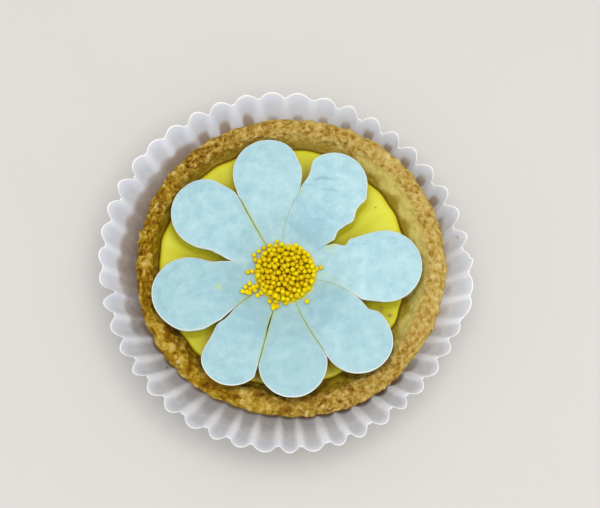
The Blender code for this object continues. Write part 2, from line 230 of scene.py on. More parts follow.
class Wire:
    """An output socket that takes part in arithmetic. Each operation adds the node that works it out."""

    def __init__(self, paint: "Paint", socket: bpy.types.NodeSocket) -> None:
        """Holds the socket and the material it belongs to."""
        self.paint = paint
        self.socket = socket

    def _math(self, operation: str, *values: Any) -> "Wire":
        """Adds one Math node."""
        return self.paint.add("ShaderNodeMath", {"operation": operation}, dict(enumerate(values)))

    def __add__(self, other: Any) -> "Wire":
        """The sum."""
        return self._math("ADD", self, other)

    def __radd__(self, other: Any) -> "Wire":
        """The sum, with a number first."""
        return self._math("ADD", other, self)

    def __sub__(self, other: Any) -> "Wire":
        """The difference."""
        return self._math("SUBTRACT", self, other)

    def __rsub__(self, other: Any) -> "Wire":
        """A number less this value."""
        return self._math("SUBTRACT", other, self)

    def __mul__(self, other: Any) -> "Wire":
        """The product."""
        return self._math("MULTIPLY", self, other)

    def __rmul__(self, other: Any) -> "Wire":
        """The product, with a number first."""
        return self._math("MULTIPLY", other, self)

    def swayed(self, cloud: "Wire", amount: Any) -> "Wire":
        """This value, pushed up and down by a cloud whose middle is 0.5."""
        return self + (cloud - 0.5) * amount

    def between(self, low: float, high: float) -> "Wire":
        """0 below low, 1 above high, and an even curve between them."""
        limits = {"Value": self, "From Min": low, "From Max": high}
        return self.paint.add("ShaderNodeMapRange", {"interpolation_type": "SMOOTHSTEP"}, limits)


class Paint:
    """One procedural material in the making."""

    def __init__(self, name: str) -> None:
        """Makes a material with a Principled BSDF, ready for its inputs.

        Args:
            name: The material's name.
        """
        self.material = bpy.data.materials.new(name)
        self.material.use_nodes = True
        self.tree = self.material.node_tree
        self.shader = self.tree.nodes["Principled BSDF"]

    def add(self, kind: str, settings: Mapping[str, Any], inputs: Mapping[Any, Any], output: Any = 0) -> Wire:
        """Adds a node.

        Args:
            kind: The node's type.
            settings: Its own settings, set first. The key "stops" holds a colour ramp's stops.
            inputs: Values or wires for its sockets, by name or number.
            output: The socket to return, by name or number.

        Returns:
            The chosen output.
        """
        node = self.tree.nodes.new(kind)
        for key, value in settings.items():
            if key == "stops":
                self._set_stops(node.color_ramp, value)
            else:
                setattr(node, key, value)
        for key, value in inputs.items():
            self._feed(node.inputs[key], value)
        return Wire(self, node.outputs[output])

    def _set_stops(self, ramp: bpy.types.ColorRamp, stops: Sequence[tuple[float, Colour]]) -> None:
        """Gives a colour ramp its stops.

        Args:
            ramp: The ramp, which starts with two stops.
            stops: Position and colour of each stop, in order.
        """
        while len(ramp.elements) < len(stops):
            ramp.elements.new(1.0)
        for element, (position, colour) in zip(ramp.elements, stops):
            element.position = position
            element.color = (*colour, 1.0)

    def _feed(self, socket: bpy.types.NodeSocket, value: Any) -> None:
        """Links a wire to a socket, or sets the socket's own value.

        Args:
            socket: The socket.
            value: A wire, a number or a colour.
        """
        if isinstance(value, Wire):
            self.tree.links.new(value.socket, socket)
        elif isinstance(value, tuple) and len(value) == 3 and socket.type == "RGBA":
            socket.default_value = (*value, 1.0)
        else:
            socket.default_value = value

    def mark(self, name: str) -> Wire:
        """A number kept at the mesh's points."""
        return self.add("ShaderNodeAttribute", {"attribute_name": name}, {}, "Fac")

    def noise(self, size: float, detail: float = 2.0, roughness: float = 0.5) -> Wire:
        """Soft random cloud, 0 to 1.

        Args:
            size: Distance over which it changes.
            detail: How many finer layers it has.
            roughness: How strong they are.

        Returns:
            The cloud's value.
        """
        where = self.add("ShaderNodeTexCoord", {}, {}, "Object")
        inputs = {"Vector": where, "Scale": 1.0 / size, "Detail": detail, "Roughness": roughness}
        return self.add("ShaderNodeTexNoise", {}, inputs)

    def mix(self, share: Any, first: Any, second: Any) -> Wire:
        """Blends two colours: share 0 gives the first and 1 the second."""
        settings = {"data_type": "RGBA", "clamp_factor": True}
        return self.add("ShaderNodeMix", settings, {0: share, 6: first, 7: second}, 2)

    def ramp(self, share: Wire, stops: Sequence[tuple[float, Colour]]) -> Wire:
        """A colour read from stops along 0 to 1."""
        return self.add("ShaderNodeValToRGB", {"stops": stops}, {"Fac": share})

    def bump(self, height: Wire, distance: float, strength: float, under: Wire | None = None) -> Wire:
        """A normal from a height.

        Args:
            height: The height, 0 to 1.
            distance: What a height of 1 stands for.
            strength: How much of it shows.
            under: A normal to add it to.

        Returns:
            The bent normal.
        """
        inputs = {"Height": height, "Distance": distance, "Strength": strength}
        if under is not None:
            inputs["Normal"] = under
        return self.add("ShaderNodeBump", {}, inputs)

    def finish(self, colour: Wire, roughness: float, more: Mapping[str, Any]) -> Material:
        """Feeds the shader.

        Args:
            colour: The surface's colour.
            roughness: Its roughness.
            more: Its other inputs, by the name of the socket.

        Returns:
            The material.
        """
        inputs = {"Base Color": colour, "Roughness": roughness, **more}
        for key, value in inputs.items():
            self._feed(self.shader.inputs[key], value)
        return self.material


# ---- meshes


def tube_faces(rings: int, steps: int, closed: bool = True) -> list[tuple[int, int, int, int]]:
    """Four-sided faces of a grid of rings.

    Args:
        rings: How many rings.
        steps: Points a ring.
        closed: Whether a ring's last point joins its first.

    Returns:
        The faces, turned outward where the rings run anticlockwise and climb the outside.
    """
    pairs = [(step, (step + 1) % steps) for step in range(steps if closed else steps - 1)]
    starts = [(ring * steps, (ring + 1) * steps) for ring in range(rings - 1)]
    return [(low + one, low + two, high + two, high + one) for low, high in starts for one, two in pairs]


def fan_faces(start: int, steps: int, hub: int, upward: bool) -> list[tuple[int, int, int]]:
    """Triangles from a ring to one point."""
    pairs = [(start + step, start + (step + 1) % steps) for step in range(steps)]
    return [(one, two, hub) if upward else (two, one, hub) for one, two in pairs]


def unit_ball(subdivisions: int) -> tuple[Array, list[list[int]]]:
    """A ball of radius 1, of triangles.

    Args:
        subdivisions: How fine it is.

    Returns:
        Its points, one a row, and its faces.
    """
    shape = bmesh.new()
    bmesh.ops.create_icosphere(shape, subdivisions=subdivisions, radius=1.0)
    points = np.array([vertex.co for vertex in shape.verts])
    faces = [[vertex.index for vertex in face.verts] for face in shape.faces]
    shape.free()
    return points, faces


def grid_normals(grid: Array) -> Array:
    """Outward unit normals of a grid of closed rings.

    Args:
        grid: Points by ring and step.

    Returns:
        A normal for each point.
    """
    around = np.roll(grid, -1, axis=1) - np.roll(grid, 1, axis=1)
    across = np.gradient(grid, axis=0)
    normals = np.cross(around, across)
    return normals / np.maximum(np.linalg.norm(normals, axis=2, keepdims=True), 1e-12)


def to_points(plan: Array, heights: Any) -> Array:
    """Plan places joined with their heights, or with one height, into points."""
    heights = np.broadcast_to(heights, plan.shape[:-1])
    return np.concatenate([plan, heights[..., None]], axis=-1)


def distance_to(places: Array, outline: Array) -> Array:
    """Distance from each place to a closed outline in the plan.

    Args:
        places: Places in the plan, one a row.
        outline: Corners of the outline, one a row.

    Returns:
        A distance for each place.
    """
    nearest = np.full(len(places), FAR)
    for first, second in zip(outline, np.roll(outline, -1, axis=0)):
        side = second - first
        length = max(float(side @ side), 1e-14)
        share = np.clip((places - first) @ side / length, 0.0, 1.0)
        nearest = np.minimum(nearest, np.linalg.norm(places - first - share[:, None] * side, axis=1))
    return nearest


@dataclass
class Draft:
    """A mesh in the making: points, faces and the numbers kept at its points."""

    points: list[Array] = field(default_factory=list)
    faces: list[tuple[int, ...]] = field(default_factory=list)
    marks: dict[str, list[Array]] = field(default_factory=dict)

    def add(self, points: Array, faces: Sequence[Sequence[int]], marks: Marks) -> None:
        """Adds a block of points with its own faces.

        Args:
            points: Points, one a row.
            faces: Faces, as numbers of this block's points.
            marks: Numbers kept at these points, by name.
        """
        start = sum(len(block) for block in self.points)
        self.points.append(points)
        self.faces += [tuple(int(index) + start for index in face) for face in faces]
        for name, values in marks.items():
            self.marks.setdefault(name, []).append(np.asarray(values, float))

    def add_closed(
        self, rings: Array, steps: int, hubs: Array, marks: Marks, last_mark: float = 0.0
    ) -> None:
        """Adds rings as one closed skin, with a fan of triangles over the first ring and the last.

        Args:
            rings: The rings' points, one a row.
            steps: Points a ring.
            hubs: Middle of the first fan and of the last.
            marks: Numbers kept at the rings' points, by name. They are 0 at the first hub.
            last_mark: Those numbers at the last hub.
        """
        total = len(rings)
        faces = tube_faces(total // steps, steps)
        faces += fan_faces(0, steps, total, False)
        faces += fan_faces(total - steps, steps, total + 1, True)
        closed = {name: np.append(values, [0.0, last_mark]) for name, values in marks.items()}
        self.add(np.concatenate([rings, hubs]), faces, closed)

    def piece(self, name: str, finish: Material, slot: str, nodes: Sequence[str]) -> Piece:
        """Makes the object and ties it to the frame.

        Args:
            name: The piece's name.
            finish: Its material.
            slot: The record's material slot that it takes its finish from; not used.
            nodes: The solids that it stands for.

        Returns:
            The object.
        """
        mesh = bpy.data.meshes.new(name)
        mesh.from_pydata(np.concatenate(self.points).tolist(), [], self.faces)
        for mark, blocks in self.marks.items():
            layer = mesh.attributes.new(mark, "FLOAT", "POINT")
            layer.data.foreach_set("value", np.concatenate(blocks).astype(np.float32))
        mesh.shade_smooth()
        mesh.materials.append(finish)
        made = bpy.data.objects.new(name, mesh)
        bpy.context.scene.collection.objects.link(made)
        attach(made, BODY)
        if nodes:
            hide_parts(*nodes)
        LOG.info("%s: %d points, %d faces", name, len(mesh.vertices), len(mesh.polygons))
        return made


# ---- where things are


@dataclass(frozen=True)
class Plan:
    """Places that several pieces share, worked out from the frame."""

    curd_centre: Array
    curd_top: float
    curd_radius: float = 43.5 * MM
    case_from_curd: Place = (0.0, -1.2 * MM)
    crust_from_curd: Place = (2.6 * MM, -0.6 * MM)
    heart_from_curd: Place = (0.3 * MM, -3.7 * MM)
    heap_from_curd: Place = (0.7 * MM, -3.8 * MM)
    sight_slope: float = 0.296  # how far the tilt of the view moves an edge to -Y, as a share of its height

    @staticmethod
    def from_frame() -> "Plan":
        """Reads the curd's place, which the other places are measured from.

        Returns:
            The plan.
        """
        low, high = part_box("lemon_curd")
        middle = np.array([0.5 * (low.x + high.x), 0.5 * (low.y + high.y)])
        return Plan(middle, high.z)

    @property
    def case(self) -> Array:
        """Middle of the paper case."""
        return self.curd_centre + self.case_from_curd

    @property
    def crust(self) -> Array:
        """Middle of the crust."""
        return self.curd_centre + self.crust_from_curd

    @property
    def heart(self) -> Array:
        """Middle of the daisy."""
        return self.curd_centre + self.heart_from_curd

    @property
    def heap(self) -> Array:
        """Middle of the heap of sprinkles."""
        return self.curd_centre + self.heap_from_curd


# ---- finishes


@dataclass(frozen=True)
class PaperFinish:
    """Thin white baking paper, soaked with butter and painted with the crust's shadow near the crust, painted
    bright along its folds and edge.
    """

    white: Colour = (0.765, 0.80, 0.89)
    crest: Colour = (0.88, 0.92, 1.0)
    edge: Colour = (0.97, 0.94, 0.90)
    deep: Colour = (0.98, 0.98, 1.0)
    valley_shade: Colour = (0.58, 0.60, 0.64)
    shadow_and_grease: Colour = (0.40, 0.30, 0.22)
    contact_shadow: Colour = (0.28, 0.16, 0.07)
    unlit: Colour = (0.0, 0.0, 0.0)
    crest_cover: float = 0.8
    shadow_cover: float = 0.9
    shadow_sway: float = 0.35
    valley_least: float = 0.4
    glow_strength: float = 0.20
    glow_least: float = 0.35
    cloud_size: float = 2.4 * MM
    fibre_size: float = 0.5 * MM
    fibre_depth: float = 0.02 * MM
    cockle_size: float = 5.0 * MM
    cockle_depth: float = 0.25 * MM
    roughness: float = 0.62

    def make(self) -> Material:
        """Builds the material.

        Returns:
            The material.
        """
        paint = Paint("white_paper_finish")
        cloud = paint.noise(self.cloud_size, 3.0)
        crest, contact_shadow = paint.mark("crest"), paint.mark("contact_shadow")
        shadow_and_stain = paint.mark("shadow_and_grease").swayed(cloud, self.shadow_sway).between(0.1, 0.95)
        # Painted light: whiter low in the case, to lift the shade there.
        colour = paint.mix(paint.mark("deep"), self.white, self.deep)
        # Painted shade on the hollow side of each flute.
        colour = paint.mix(paint.mark("valley_shade") * (self.valley_least + cloud * 0.8), colour, self.valley_shade)
        # Painted highlight along the folds' crests.
        colour = paint.mix(crest * self.crest_cover, colour, self.crest)
        # Painted shadow of the crust, with butter soaked into the paper, near the crust.
        colour = paint.mix(shadow_and_stain * self.shadow_cover, colour, self.shadow_and_grease)
        # Painted contact shadow right under the crust's edge.
        colour = paint.mix(contact_shadow * self.shadow_cover, colour, self.contact_shadow)
        # Painted highlight along the rim's top edge.
        colour = paint.mix(paint.mark("edge"), colour, self.edge)
        clean = (1.0 - shadow_and_stain) * (1.0 - contact_shadow)
        # Painted glow: emission standing in for light through the paper, strongest on crests and clean paper.
        through = paint.mark("glow") * (self.glow_least + crest) * clean
        glow = paint.mix(through, self.unlit, self.white)
        cockle = paint.bump(paint.noise(self.cockle_size, 1.0), self.cockle_depth, 0.6)
        fibre = paint.bump(paint.noise(self.fibre_size), self.fibre_depth, 0.5, cockle)
        more = {"Normal": fibre, "Emission Color": glow, "Emission Strength": self.glow_strength}
        return paint.finish(colour, self.roughness, more)


@dataclass(frozen=True)
class CrustFinish:
    """Baked shortcrust: golden crumb, pale flakes and brown hollows, partly painted highlight and shade,
    darker to the left.
    """

    left: tuple[Colour, ...] = (
        tint(90, 46, 0), tint(130, 86, 0), tint(155, 118, 6), tint(194, 157, 50), tint(222, 192, 116),
    )
    right: tuple[Colour, ...] = (
        tint(132, 84, 4), tint(176, 136, 50), tint(200, 168, 88), tint(216, 188, 114), tint(236, 212, 152),
    )
    levels: tuple[float, ...] = (0.05, 0.27, 0.5, 0.73, 0.97)
    pressed_dark: Colour = tint(150, 124, 6)
    pressed_light: Colour = tint(218, 199, 108)
    shadow: Colour = tint(84, 50, 0)
    burnt: Colour = tint(104, 58, 0)
    wall: Colour = tint(142, 102, 30)
    grit_size: float = 0.9 * MM
    patch_size: float = 4.0 * MM
    tone_size: float = 9.0 * MM
    scorch_size: float = 2.6 * MM
    grit_sway: float = 0.35
    patch_sway: Place = (1.1, 0.4)  # of the grain at the dark side and at the pale side
    tone_sway: float = 0.5
    slope_sway: Place = (0.65, 0.5)  # of the pressed slope, by patches and by grit
    pressed_sway: float = 0.6
    pressed_cover: float = 0.95
    wall_cover: float = 0.55
    scorch_weight: float = 0.34
    scorch_cover: float = 0.75
    bump_depth: float = 0.12 * MM
    roughness: float = 0.78

    def make(self) -> Material:
        """Builds the material.

        Returns:
            The material.
        """
        paint = Paint("shortcrust_finish")
        grit = paint.noise(self.grit_size, 3.0, 0.6)
        patches = paint.noise(self.patch_size)
        tone = paint.mark("tone")
        at_dark, at_pale = self.patch_sway
        patchy = at_dark - (at_dark - at_pale) * tone
        # The grain mark carries painted highlight and shade: paler on raised flakes, darker in the hollows.
        grain = paint.mark("grain").swayed(grit, self.grit_sway).swayed(patches, patchy)
        dark = paint.ramp(grain, tuple(zip(self.levels, self.left)))
        pale = paint.ramp(grain, tuple(zip(self.levels, self.right)))
        colour = paint.mix(tone.swayed(paint.noise(self.tone_size), self.tone_sway), dark, pale)
        by_patches, by_grit = self.slope_sway
        smooth = paint.mark("smooth").swayed(patches, by_patches).swayed(grit, by_grit).between(0.05, 0.85)
        slope = paint.mix(smooth, self.pressed_dark, self.pressed_light)
        pressed = paint.mark("pressed").swayed(patches, self.pressed_sway)
        colour = paint.mix(pressed * self.pressed_cover, colour, slope)
        colour = paint.mix(paint.mark("wall") * self.wall_cover, colour, self.wall)
        scorch = paint.noise(self.scorch_size, 3.0) + paint.mark("scorch") * self.scorch_weight
        colour = paint.mix(scorch.between(0.66, 0.86) * self.scorch_cover, colour, self.burnt)
        colour = paint.mix(paint.mark("shadow"), colour, self.shadow)
        more = {"Specular IOR Level": 0.1, "Normal": paint.bump(grit, self.bump_depth, 0.7)}
        return paint.finish(colour, self.roughness, more)


@dataclass(frozen=True)
class CurdFinish:
    """Set lemon curd with painted shade: bright where it lies open, olive where petals and crust close in on
    it.
    """

    stops: tuple[tuple[float, Colour], ...] = (
        (0.0, tint(120, 88, 0)),
        (0.13, tint(188, 164, 0)),
        (0.42, tint(222, 212, 22)),
        (1.0, tint(239, 234, 60)),
    )
    cloud_size: float = 6.0 * MM
    cloud_sway: float = 0.12
    swell_size: float = 3.5 * MM
    swell_depth: float = 0.15 * MM
    roughness: float = 0.34

    def make(self) -> Material:
        """Builds the material.

        Returns:
            The material.
        """
        paint = Paint("lemon_curd_finish")
        # Painted shade: the ramp runs from olive where the curd is closed in to bright yellow where it is
        # open.
        opened = paint.mark("open").swayed(paint.noise(self.cloud_size), self.cloud_sway)
        more = {
            "Normal": paint.bump(paint.noise(self.swell_size), self.swell_depth, 0.5),
            "Specular IOR Level": 0.3,
            "Subsurface Weight": 0.12,
            "Subsurface Scale": 2.0 * MM,
            "Subsurface Radius": (1.0, 0.8, 0.15),
        }
        return paint.finish(paint.ramp(opened, self.stops), self.roughness, more)


@dataclass(frozen=True)
class CreamFinish:
    """Piped cream, pale and cool, with painted highlights on its rims, painted shade and lemon smears."""

    cream: Colour = tint(193, 230, 234)
    cool: Colour = tint(160, 202, 216)
    dim: Colour = tint(156, 196, 202)
    rim: Colour = tint(250, 252, 242)
    under: Colour = tint(178, 210, 213)
    seam: Colour = tint(182, 200, 112)
    smear: Colour = tint(196, 218, 140)
    sugar: Colour = tint(238, 224, 40)
    speck: Colour = tint(120, 150, 120)
    cloud_size: float = 4.0 * MM
    cloud_sway: Place = (1.7, 1.3)  # of every petal, and what its mottling adds
    fine_size: float = 0.9 * MM
    fine_sway: float = 0.6
    middle_shade: float = 0.6
    dim_cover: float = 0.5
    smear_cover: float = 0.7
    sugar_size: float = 1.6 * MM
    sugar_sway: float = 0.7
    speck_size: float = 1.3 * MM
    speck_cover: float = 0.45
    under_cover: float = 0.85
    bump_depth: float = 0.05 * MM
    roughness: float = 0.55

    def make(self) -> Material:
        """Builds the material.

        Returns:
            The material.
        """
        paint = Paint("piped_cream_finish")
        cloud = paint.noise(self.cloud_size, 4.0, 0.6)
        fine = paint.noise(self.fine_size)
        least, mottled = self.cloud_sway
        # Painted shading of the folds: darker in hollow ones, lighter on raised ones.
        shade = self.middle_shade - paint.mark("crease") - paint.mark("cool")
        shade = shade.swayed(cloud, least + mottled * paint.mark("mottle")).swayed(fine, self.fine_sway)
        colour = paint.mix(shade, self.cool, self.cream)
        colour = paint.mix(paint.mark("dim") * self.dim_cover, colour, self.dim)
        # Painted highlight along the petals' rims.
        colour = paint.mix(paint.mark("rim"), colour, self.rim)
        # Painted shade along the seams, tinted by light reflected from the curd.
        colour = paint.mix(paint.mark("seam"), colour, self.seam)
        smear = paint.mark("smear").swayed(fine, 0.5).between(0.2, 0.9)
        colour = paint.mix(smear * self.smear_cover, colour, self.smear)
        sugar = paint.mark("sugar").swayed(paint.noise(self.sugar_size), self.sugar_sway)
        colour = paint.mix(sugar.between(0.15, 0.6), colour, self.sugar)
        specks = paint.noise(self.speck_size, 0.0).between(0.86, 0.90)
        colour = paint.mix(specks * self.speck_cover, colour, self.speck)
        # Painted shade on the petals' undersides.
        colour = paint.mix(paint.mark("under") * self.under_cover, colour, self.under)
        more = {
            "Normal": paint.bump(fine, self.bump_depth, 0.6),
            "Subsurface Weight": 0.1,
            "Subsurface Scale": 1.5 * MM,
            "Subsurface Radius": (1.0, 1.0, 0.9),
        }
        return paint.finish(colour, self.roughness, more)


@dataclass(frozen=True)
class SugarFinish:
    """Round sugar sprinkles, each a slightly different yellow, with painted shade on their lower sides."""

    deep: Colour = tint(230, 190, 0)
    bright: Colour = tint(252, 230, 0)
    shade: Colour = tint(190, 136, 0)
    shade_cover: float = 0.7
    cloud_size: float = 0.5 * MM
    cloud_sway: float = 0.3
    pit_size: float = 0.35 * MM
    pit_depth: float = 0.03 * MM
    roughness: float = 0.5

    def make(self) -> Material:
        """Builds the material.

        Returns:
            The material.
        """
        paint = Paint("yellow_sugar_finish")
        share = paint.mark("ball").swayed(paint.noise(self.cloud_size, 1.0), self.cloud_sway)
        colour = paint.mix(share, self.deep, self.bright)
        # Painted shade on each ball's lower side.
        colour = paint.mix(paint.mark("below") * self.shade_cover, colour, self.shade)
        bump = paint.bump(paint.noise(self.pit_size, 1.0), self.pit_depth, 0.6)
        return paint.finish(colour, self.roughness, {"Specular IOR Level": 0.1, "Normal": bump})


@dataclass(frozen=True)
class BedFinish:
    """Cream under the sprinkles, dyed by them and painted dark in the middle as the shade between them."""

    deep: Colour = tint(110, 66, 0)
    bright: Colour = tint(230, 206, 0)
    cloud_size: float = 1.6 * MM
    cloud_sway: float = 0.6
    bump_size: float = 0.8 * MM
    bump_depth: float = 0.1 * MM
    roughness: float = 0.6

    def make(self) -> Material:
        """Builds the material.

        Returns:
            The material.
        """
        paint = Paint("dyed_shaded_cream_finish")
        # Painted shade: dark in the middle, where it lies deep between the balls, brighter towards the
        # outside.
        share = paint.mark("outer").swayed(paint.noise(self.cloud_size), self.cloud_sway).between(0.35, 0.9)
        bump = paint.bump(paint.noise(self.bump_size, 1.0), self.bump_depth, 0.6)
        return paint.finish(paint.mix(share, self.deep, self.bright), self.roughness, {"Normal": bump})


@dataclass(frozen=True)
class CrumbFinish:
    """Loose crumbs of shortcrust."""

    dark: Colour = tint(190, 146, 50)
    light: Colour = tint(236, 208, 120)
    cloud_size: float = 0.3 * MM
    cloud_sway: float = 0.6
    bump_size: float = 0.25 * MM
    bump_depth: float = 0.06 * MM
    roughness: float = 0.8

    def make(self) -> Material:
        """Builds the material.

        Returns:
            The material.
        """
        paint = Paint("loose_crumb_finish")
        share = paint.mark("crumb").swayed(paint.noise(self.cloud_size), self.cloud_sway)
        bump = paint.bump(paint.noise(self.bump_size), self.bump_depth, 0.8)
        return paint.finish(paint.mix(share, self.dark, self.light), self.roughness, {"Normal": bump})


# ---- crust


@dataclass
class Crust:
    """The shortcrust shell: a rough crumb wall and top, and an inner slope pressed by fingertips."""

    plan: Plan
    radius: float = 54.3 * MM
    foot_radius: float = 42.4 * MM
    foot: float = 0.7 * MM
    top: float = 26.2 * MM
    out_of_round: Waves = ((2, 0.12 * MM, 128.0), (4, 0.22 * MM, 36.0), (5, 0.08 * MM, 66.0))
    shoulder: float = 2.6 * MM
    shoulder_width: float = 0.25
    crest_right: float = 0.34
    crest_left: float = 0.60
    crest_direction: float = 5.0
    dent_depth: float = 0.45 * MM
    dents: int = 26
    edge_drop: float = 0.4 * MM
    edge_waves: Waves = ((7, 0.22 * MM, 20.0), (11, 0.22 * MM, 4.0), (26, 0.20 * MM, 0.0))
    wall_curve: float = 0.9
    steps: int = 980
    wall_rings: int = 22
    top_rings: int = 52
    groove_depth: float = 5.0 * MM
    groove_share: float = 0.97
    crag: float = 0.55 * MM
    crag_size: float = 4.2 * MM
    small_crag: float = 0.6
    small_crag_step: tuple[float, float, float] = (5.0, 3.0, 1.0)
    relief: float = 0.26 * MM
    flake_sizes: Place = (1.9 * MM, 0.85 * MM)
    flake_weights: Place = (0.9, 0.75)
    grain_size: float = 1.5 * MM
    grain_weight: float = 0.5
    grain_mean: float = 0.42
    crevice_size: float = 2.6 * MM
    crevice_width: float = 0.05
    crevice_weight: float = 0.28
    crevice_patch: float = 4.0 * MM
    warp: float = 1.1 * MM
    warp_size: float = 2.4 * MM
    far_step: tuple[float, float, float] = (0.031, 0.017, 0.043)  # to lumps that have nothing in common
    facet: float = 0.9 * MM
    facet_size: float = 4.6 * MM
    pressed_lumps: tuple[Place, ...] = ((0.95, 3.4 * MM), (0.25, 1.3 * MM))  # height in millimetres, size
    pale_direction: float = 20.0
    near_left: Sector = Sector(232.0, 30.0, 26.0)
    near_left_level: float = 0.07
    near_left_calm: float = 0.42
    dark_left: Sector = Sector(182.0, 16.0, 12.0, 0.08)
    relief_shade_contrast: float = 0.19
    facet_shade_contrast: float = 0.45
    scorched_left: Sector = Sector(224.0, 28.0, 24.0, 0.5)
    scorched_right: Sector = Sector(292.0, 24.0, 14.0, 0.5)
    scorched_dark: float = 0.2
    pressed: tuple[Sector, ...] = (Sector(15.0, 32.0, 24.0), Sector(316.0, 32.0, 14.0, 0.8))
    pressed_from: Place = (0.64, 0.44)  # across the ring, elsewhere and on the right
    pale_slope: tuple[Sector, ...] = (Sector(15.0, 34.0, 30.0), Sector(330.0, 18.0, 20.0, 0.75))
    dark_from: float = 0.78
    dark_in_dents: float = 0.12
    dark_fade: float = 0.20
    curd_shadow: float = 0.6
    petal_shadow: float = 0.55
    petal_shadow_width: float = 0.9 * MM
    seed: int = 21

    def edge(self, degrees: Any) -> Any:
        """Distance from the crust's middle to its outer edge."""
        return self.radius + harmonics(self.out_of_round, degrees)

    def curd_edge(self, degrees: Any) -> Any:
        """Distance from the crust's middle to the curd's edge.

        Args:
            degrees: Directions from the crust's middle.

        Returns:
            The distances.
        """
        offset = self.plan.curd_centre - self.plan.crust
        along = direction(degrees) @ offset
        even = along + np.sqrt(self.plan.curd_radius**2 - offset @ offset + along**2)
        return even + harmonics(self.edge_waves, degrees)

    def across(self, places: Array) -> Array:
        """How far places lie across the crust's ring.

        Args:
            places: Places in the plan.

        Returns:
            Shares, 0 at the outer edge and 1 at the curd.
        """
        offsets = places - self.plan.crust
        degrees = bearing(offsets)
        outer, inner = self.edge(degrees), self.curd_edge(degrees)
        return (outer - np.linalg.norm(offsets, axis=-1)) / (outer - inner)

    def _dent(self, degrees: Any) -> Any:
        """How deep in a fingertip's dent these directions lie, 0 to 1."""
        return np.sin(np.radians(0.5 * self.dents * degrees)) ** 2

    def height(self, degrees: Any, across: Any) -> Any:
        """Height of the crust's top without its crags.

        Args:
            degrees: Directions from the crust's middle.
            across: How far across the ring, 0 at the outer edge and 1 at the curd.

        Returns:
            The heights.
        """
        right = ease(0.5 + 0.5 * np.cos(np.radians(degrees - self.crest_direction)))
        end = self.crest_left + (self.crest_right - self.crest_left) * right
        rounding = np.clip(1.0 - across / self.shoulder_width, 0.0, 1.0)
        heights = self.top - self.shoulder * rounding**2
        fall = self.top - self.plan.curd_top + self.edge_drop
        heights = heights - fall * ease((across - end) / (1.0 - end))
        return heights - self.dent_depth * self._dent(degrees) * np.sin(math.pi * ease(across))

    def support(self, places: Array) -> Array:
        """Height of what lies under the cream: the curd, or the crust's slope where that is higher.

        Args:
            places: Places in the plan.

        Returns:
            The heights.
        """
        across = self.across(places)
        degrees = bearing(places - self.plan.crust)
        slope = self.height(degrees, np.clip(across, 0.0, 1.0))
        return np.where(across >= 1.0, self.plan.curd_top, np.maximum(self.plan.curd_top, slope))

    def _base(self, degrees: Array) -> tuple[Array, Array, Array]:
        """The shell without relief.

        Args:
            degrees: Directions of a ring's points.

        Returns:
            Its rings, how far down the wall each ring is, and how far across the top.
        """
        shoulder = self.top - self.shoulder
        climbs = np.linspace(0.0, 1.0, self.wall_rings, endpoint=False)
        crossings = np.linspace(0.0, 1.0, self.top_rings)
        rings = []
        for climb in climbs:
            radii = self.foot_radius + (self.edge(degrees) - self.foot_radius) * climb**self.wall_curve
            height = self.foot + (shoulder - self.foot) * climb
            rings.append(to_points(self.plan.crust + radii[:, None] * direction(degrees), height))
        for across in crossings:
            radii = self.edge(degrees) + (self.curd_edge(degrees) - self.edge(degrees)) * across
            places = self.plan.crust + radii[:, None] * direction(degrees)
            rings.append(to_points(places, self.height(degrees, across)))
        wall = np.concatenate([1.0 - climbs, np.zeros(self.top_rings)])
        return np.array(rings), wall, np.concatenate([np.zeros(self.wall_rings), crossings])

    def build(self, finish: Material, daisy: "Daisy") -> Piece:
        """Builds the shell with its crags and crumb.

        Args:
            finish: Its material.
            daisy: The petals that shade it.

        Returns:
            The piece.
        """
        degrees = round_trip(self.steps)
        grid, ring_wall, ring_across = self._base(degrees)
        smooth_points = grid.reshape(-1, 3)
        around = np.tile(degrees, len(grid))
        across, wall = np.repeat(ring_across, self.steps), np.repeat(ring_wall, self.steps)
        lumps = Lumps(self.seed)
        pressed = self._pressed(around, across)
        tone = ease(0.5 + 0.5 * np.cos(np.radians(around - self.pale_direction)))
        near_left = self.near_left.share(around)
        rough = (1.0 - 0.8 * pressed) * (1.0 - 0.3 * tone) * (1.0 - self.near_left_calm * near_left)
        flakes = self._flakes(smooth_points, lumps)
        quiet = ease((1.0 - across) / 0.08) * ease((1.0 - wall) / 0.1)
        facets = near_left * lumps.soft(smooth_points, self.facet_size)
        relief = self.crag * self._crags(smooth_points) * (0.35 + 0.65 * quiet)
        relief += self.relief * rough * quiet * flakes * (0.5 + 0.5 * ease(across / 0.2))
        relief += self.facet * quiet * facets
        soft = sum(weight * lumps.soft(smooth_points, size) for weight, size in self.pressed_lumps)
        relief += pressed * quiet * soft * MM
        points = smooth_points + grid_normals(grid).reshape(-1, 3) * relief[:, None]
        level = 0.5 + self.near_left_level * near_left - self.dark_left.share(around)
        # Painted highlight and shade: paler where flakes and facets rise, darker in the hollows between them,
        # over the crumb's own grain.
        grain = level + self.relief_shade_contrast * rough * flakes + self.facet_shade_contrast * facets
        marks = {
            "grain": np.clip(grain, 0.0, 1.0),
            "tone": tone,
            "pressed": pressed,
            "smooth": self._smooth(around, across),
            "wall": ease(wall / 0.5),
            "scorch": self._scorch(around, across) + self.scorched_dark * (1.0 - tone),
            "shadow": self._shadow(points, across, daisy),
        }
        return self._close(points, marks, degrees).piece("crumb_crust", finish, "shortcrust", ["crust"])

    def _crags(self, points: Array) -> Array:
        """The large uneven lumps that the solid has too.

        Args:
            points: Points, one a row.

        Returns:
            A number a point, about -1 to 1.
        """
        found = []
        for point in points - np.array([*self.plan.case, 0.0]):
            place = Vector(point) / self.crag_size
            small = noise.noise(2.3 * place + Vector(self.small_crag_step))
            found.append(noise.noise(place) + self.small_crag * small)
        return np.array(found)

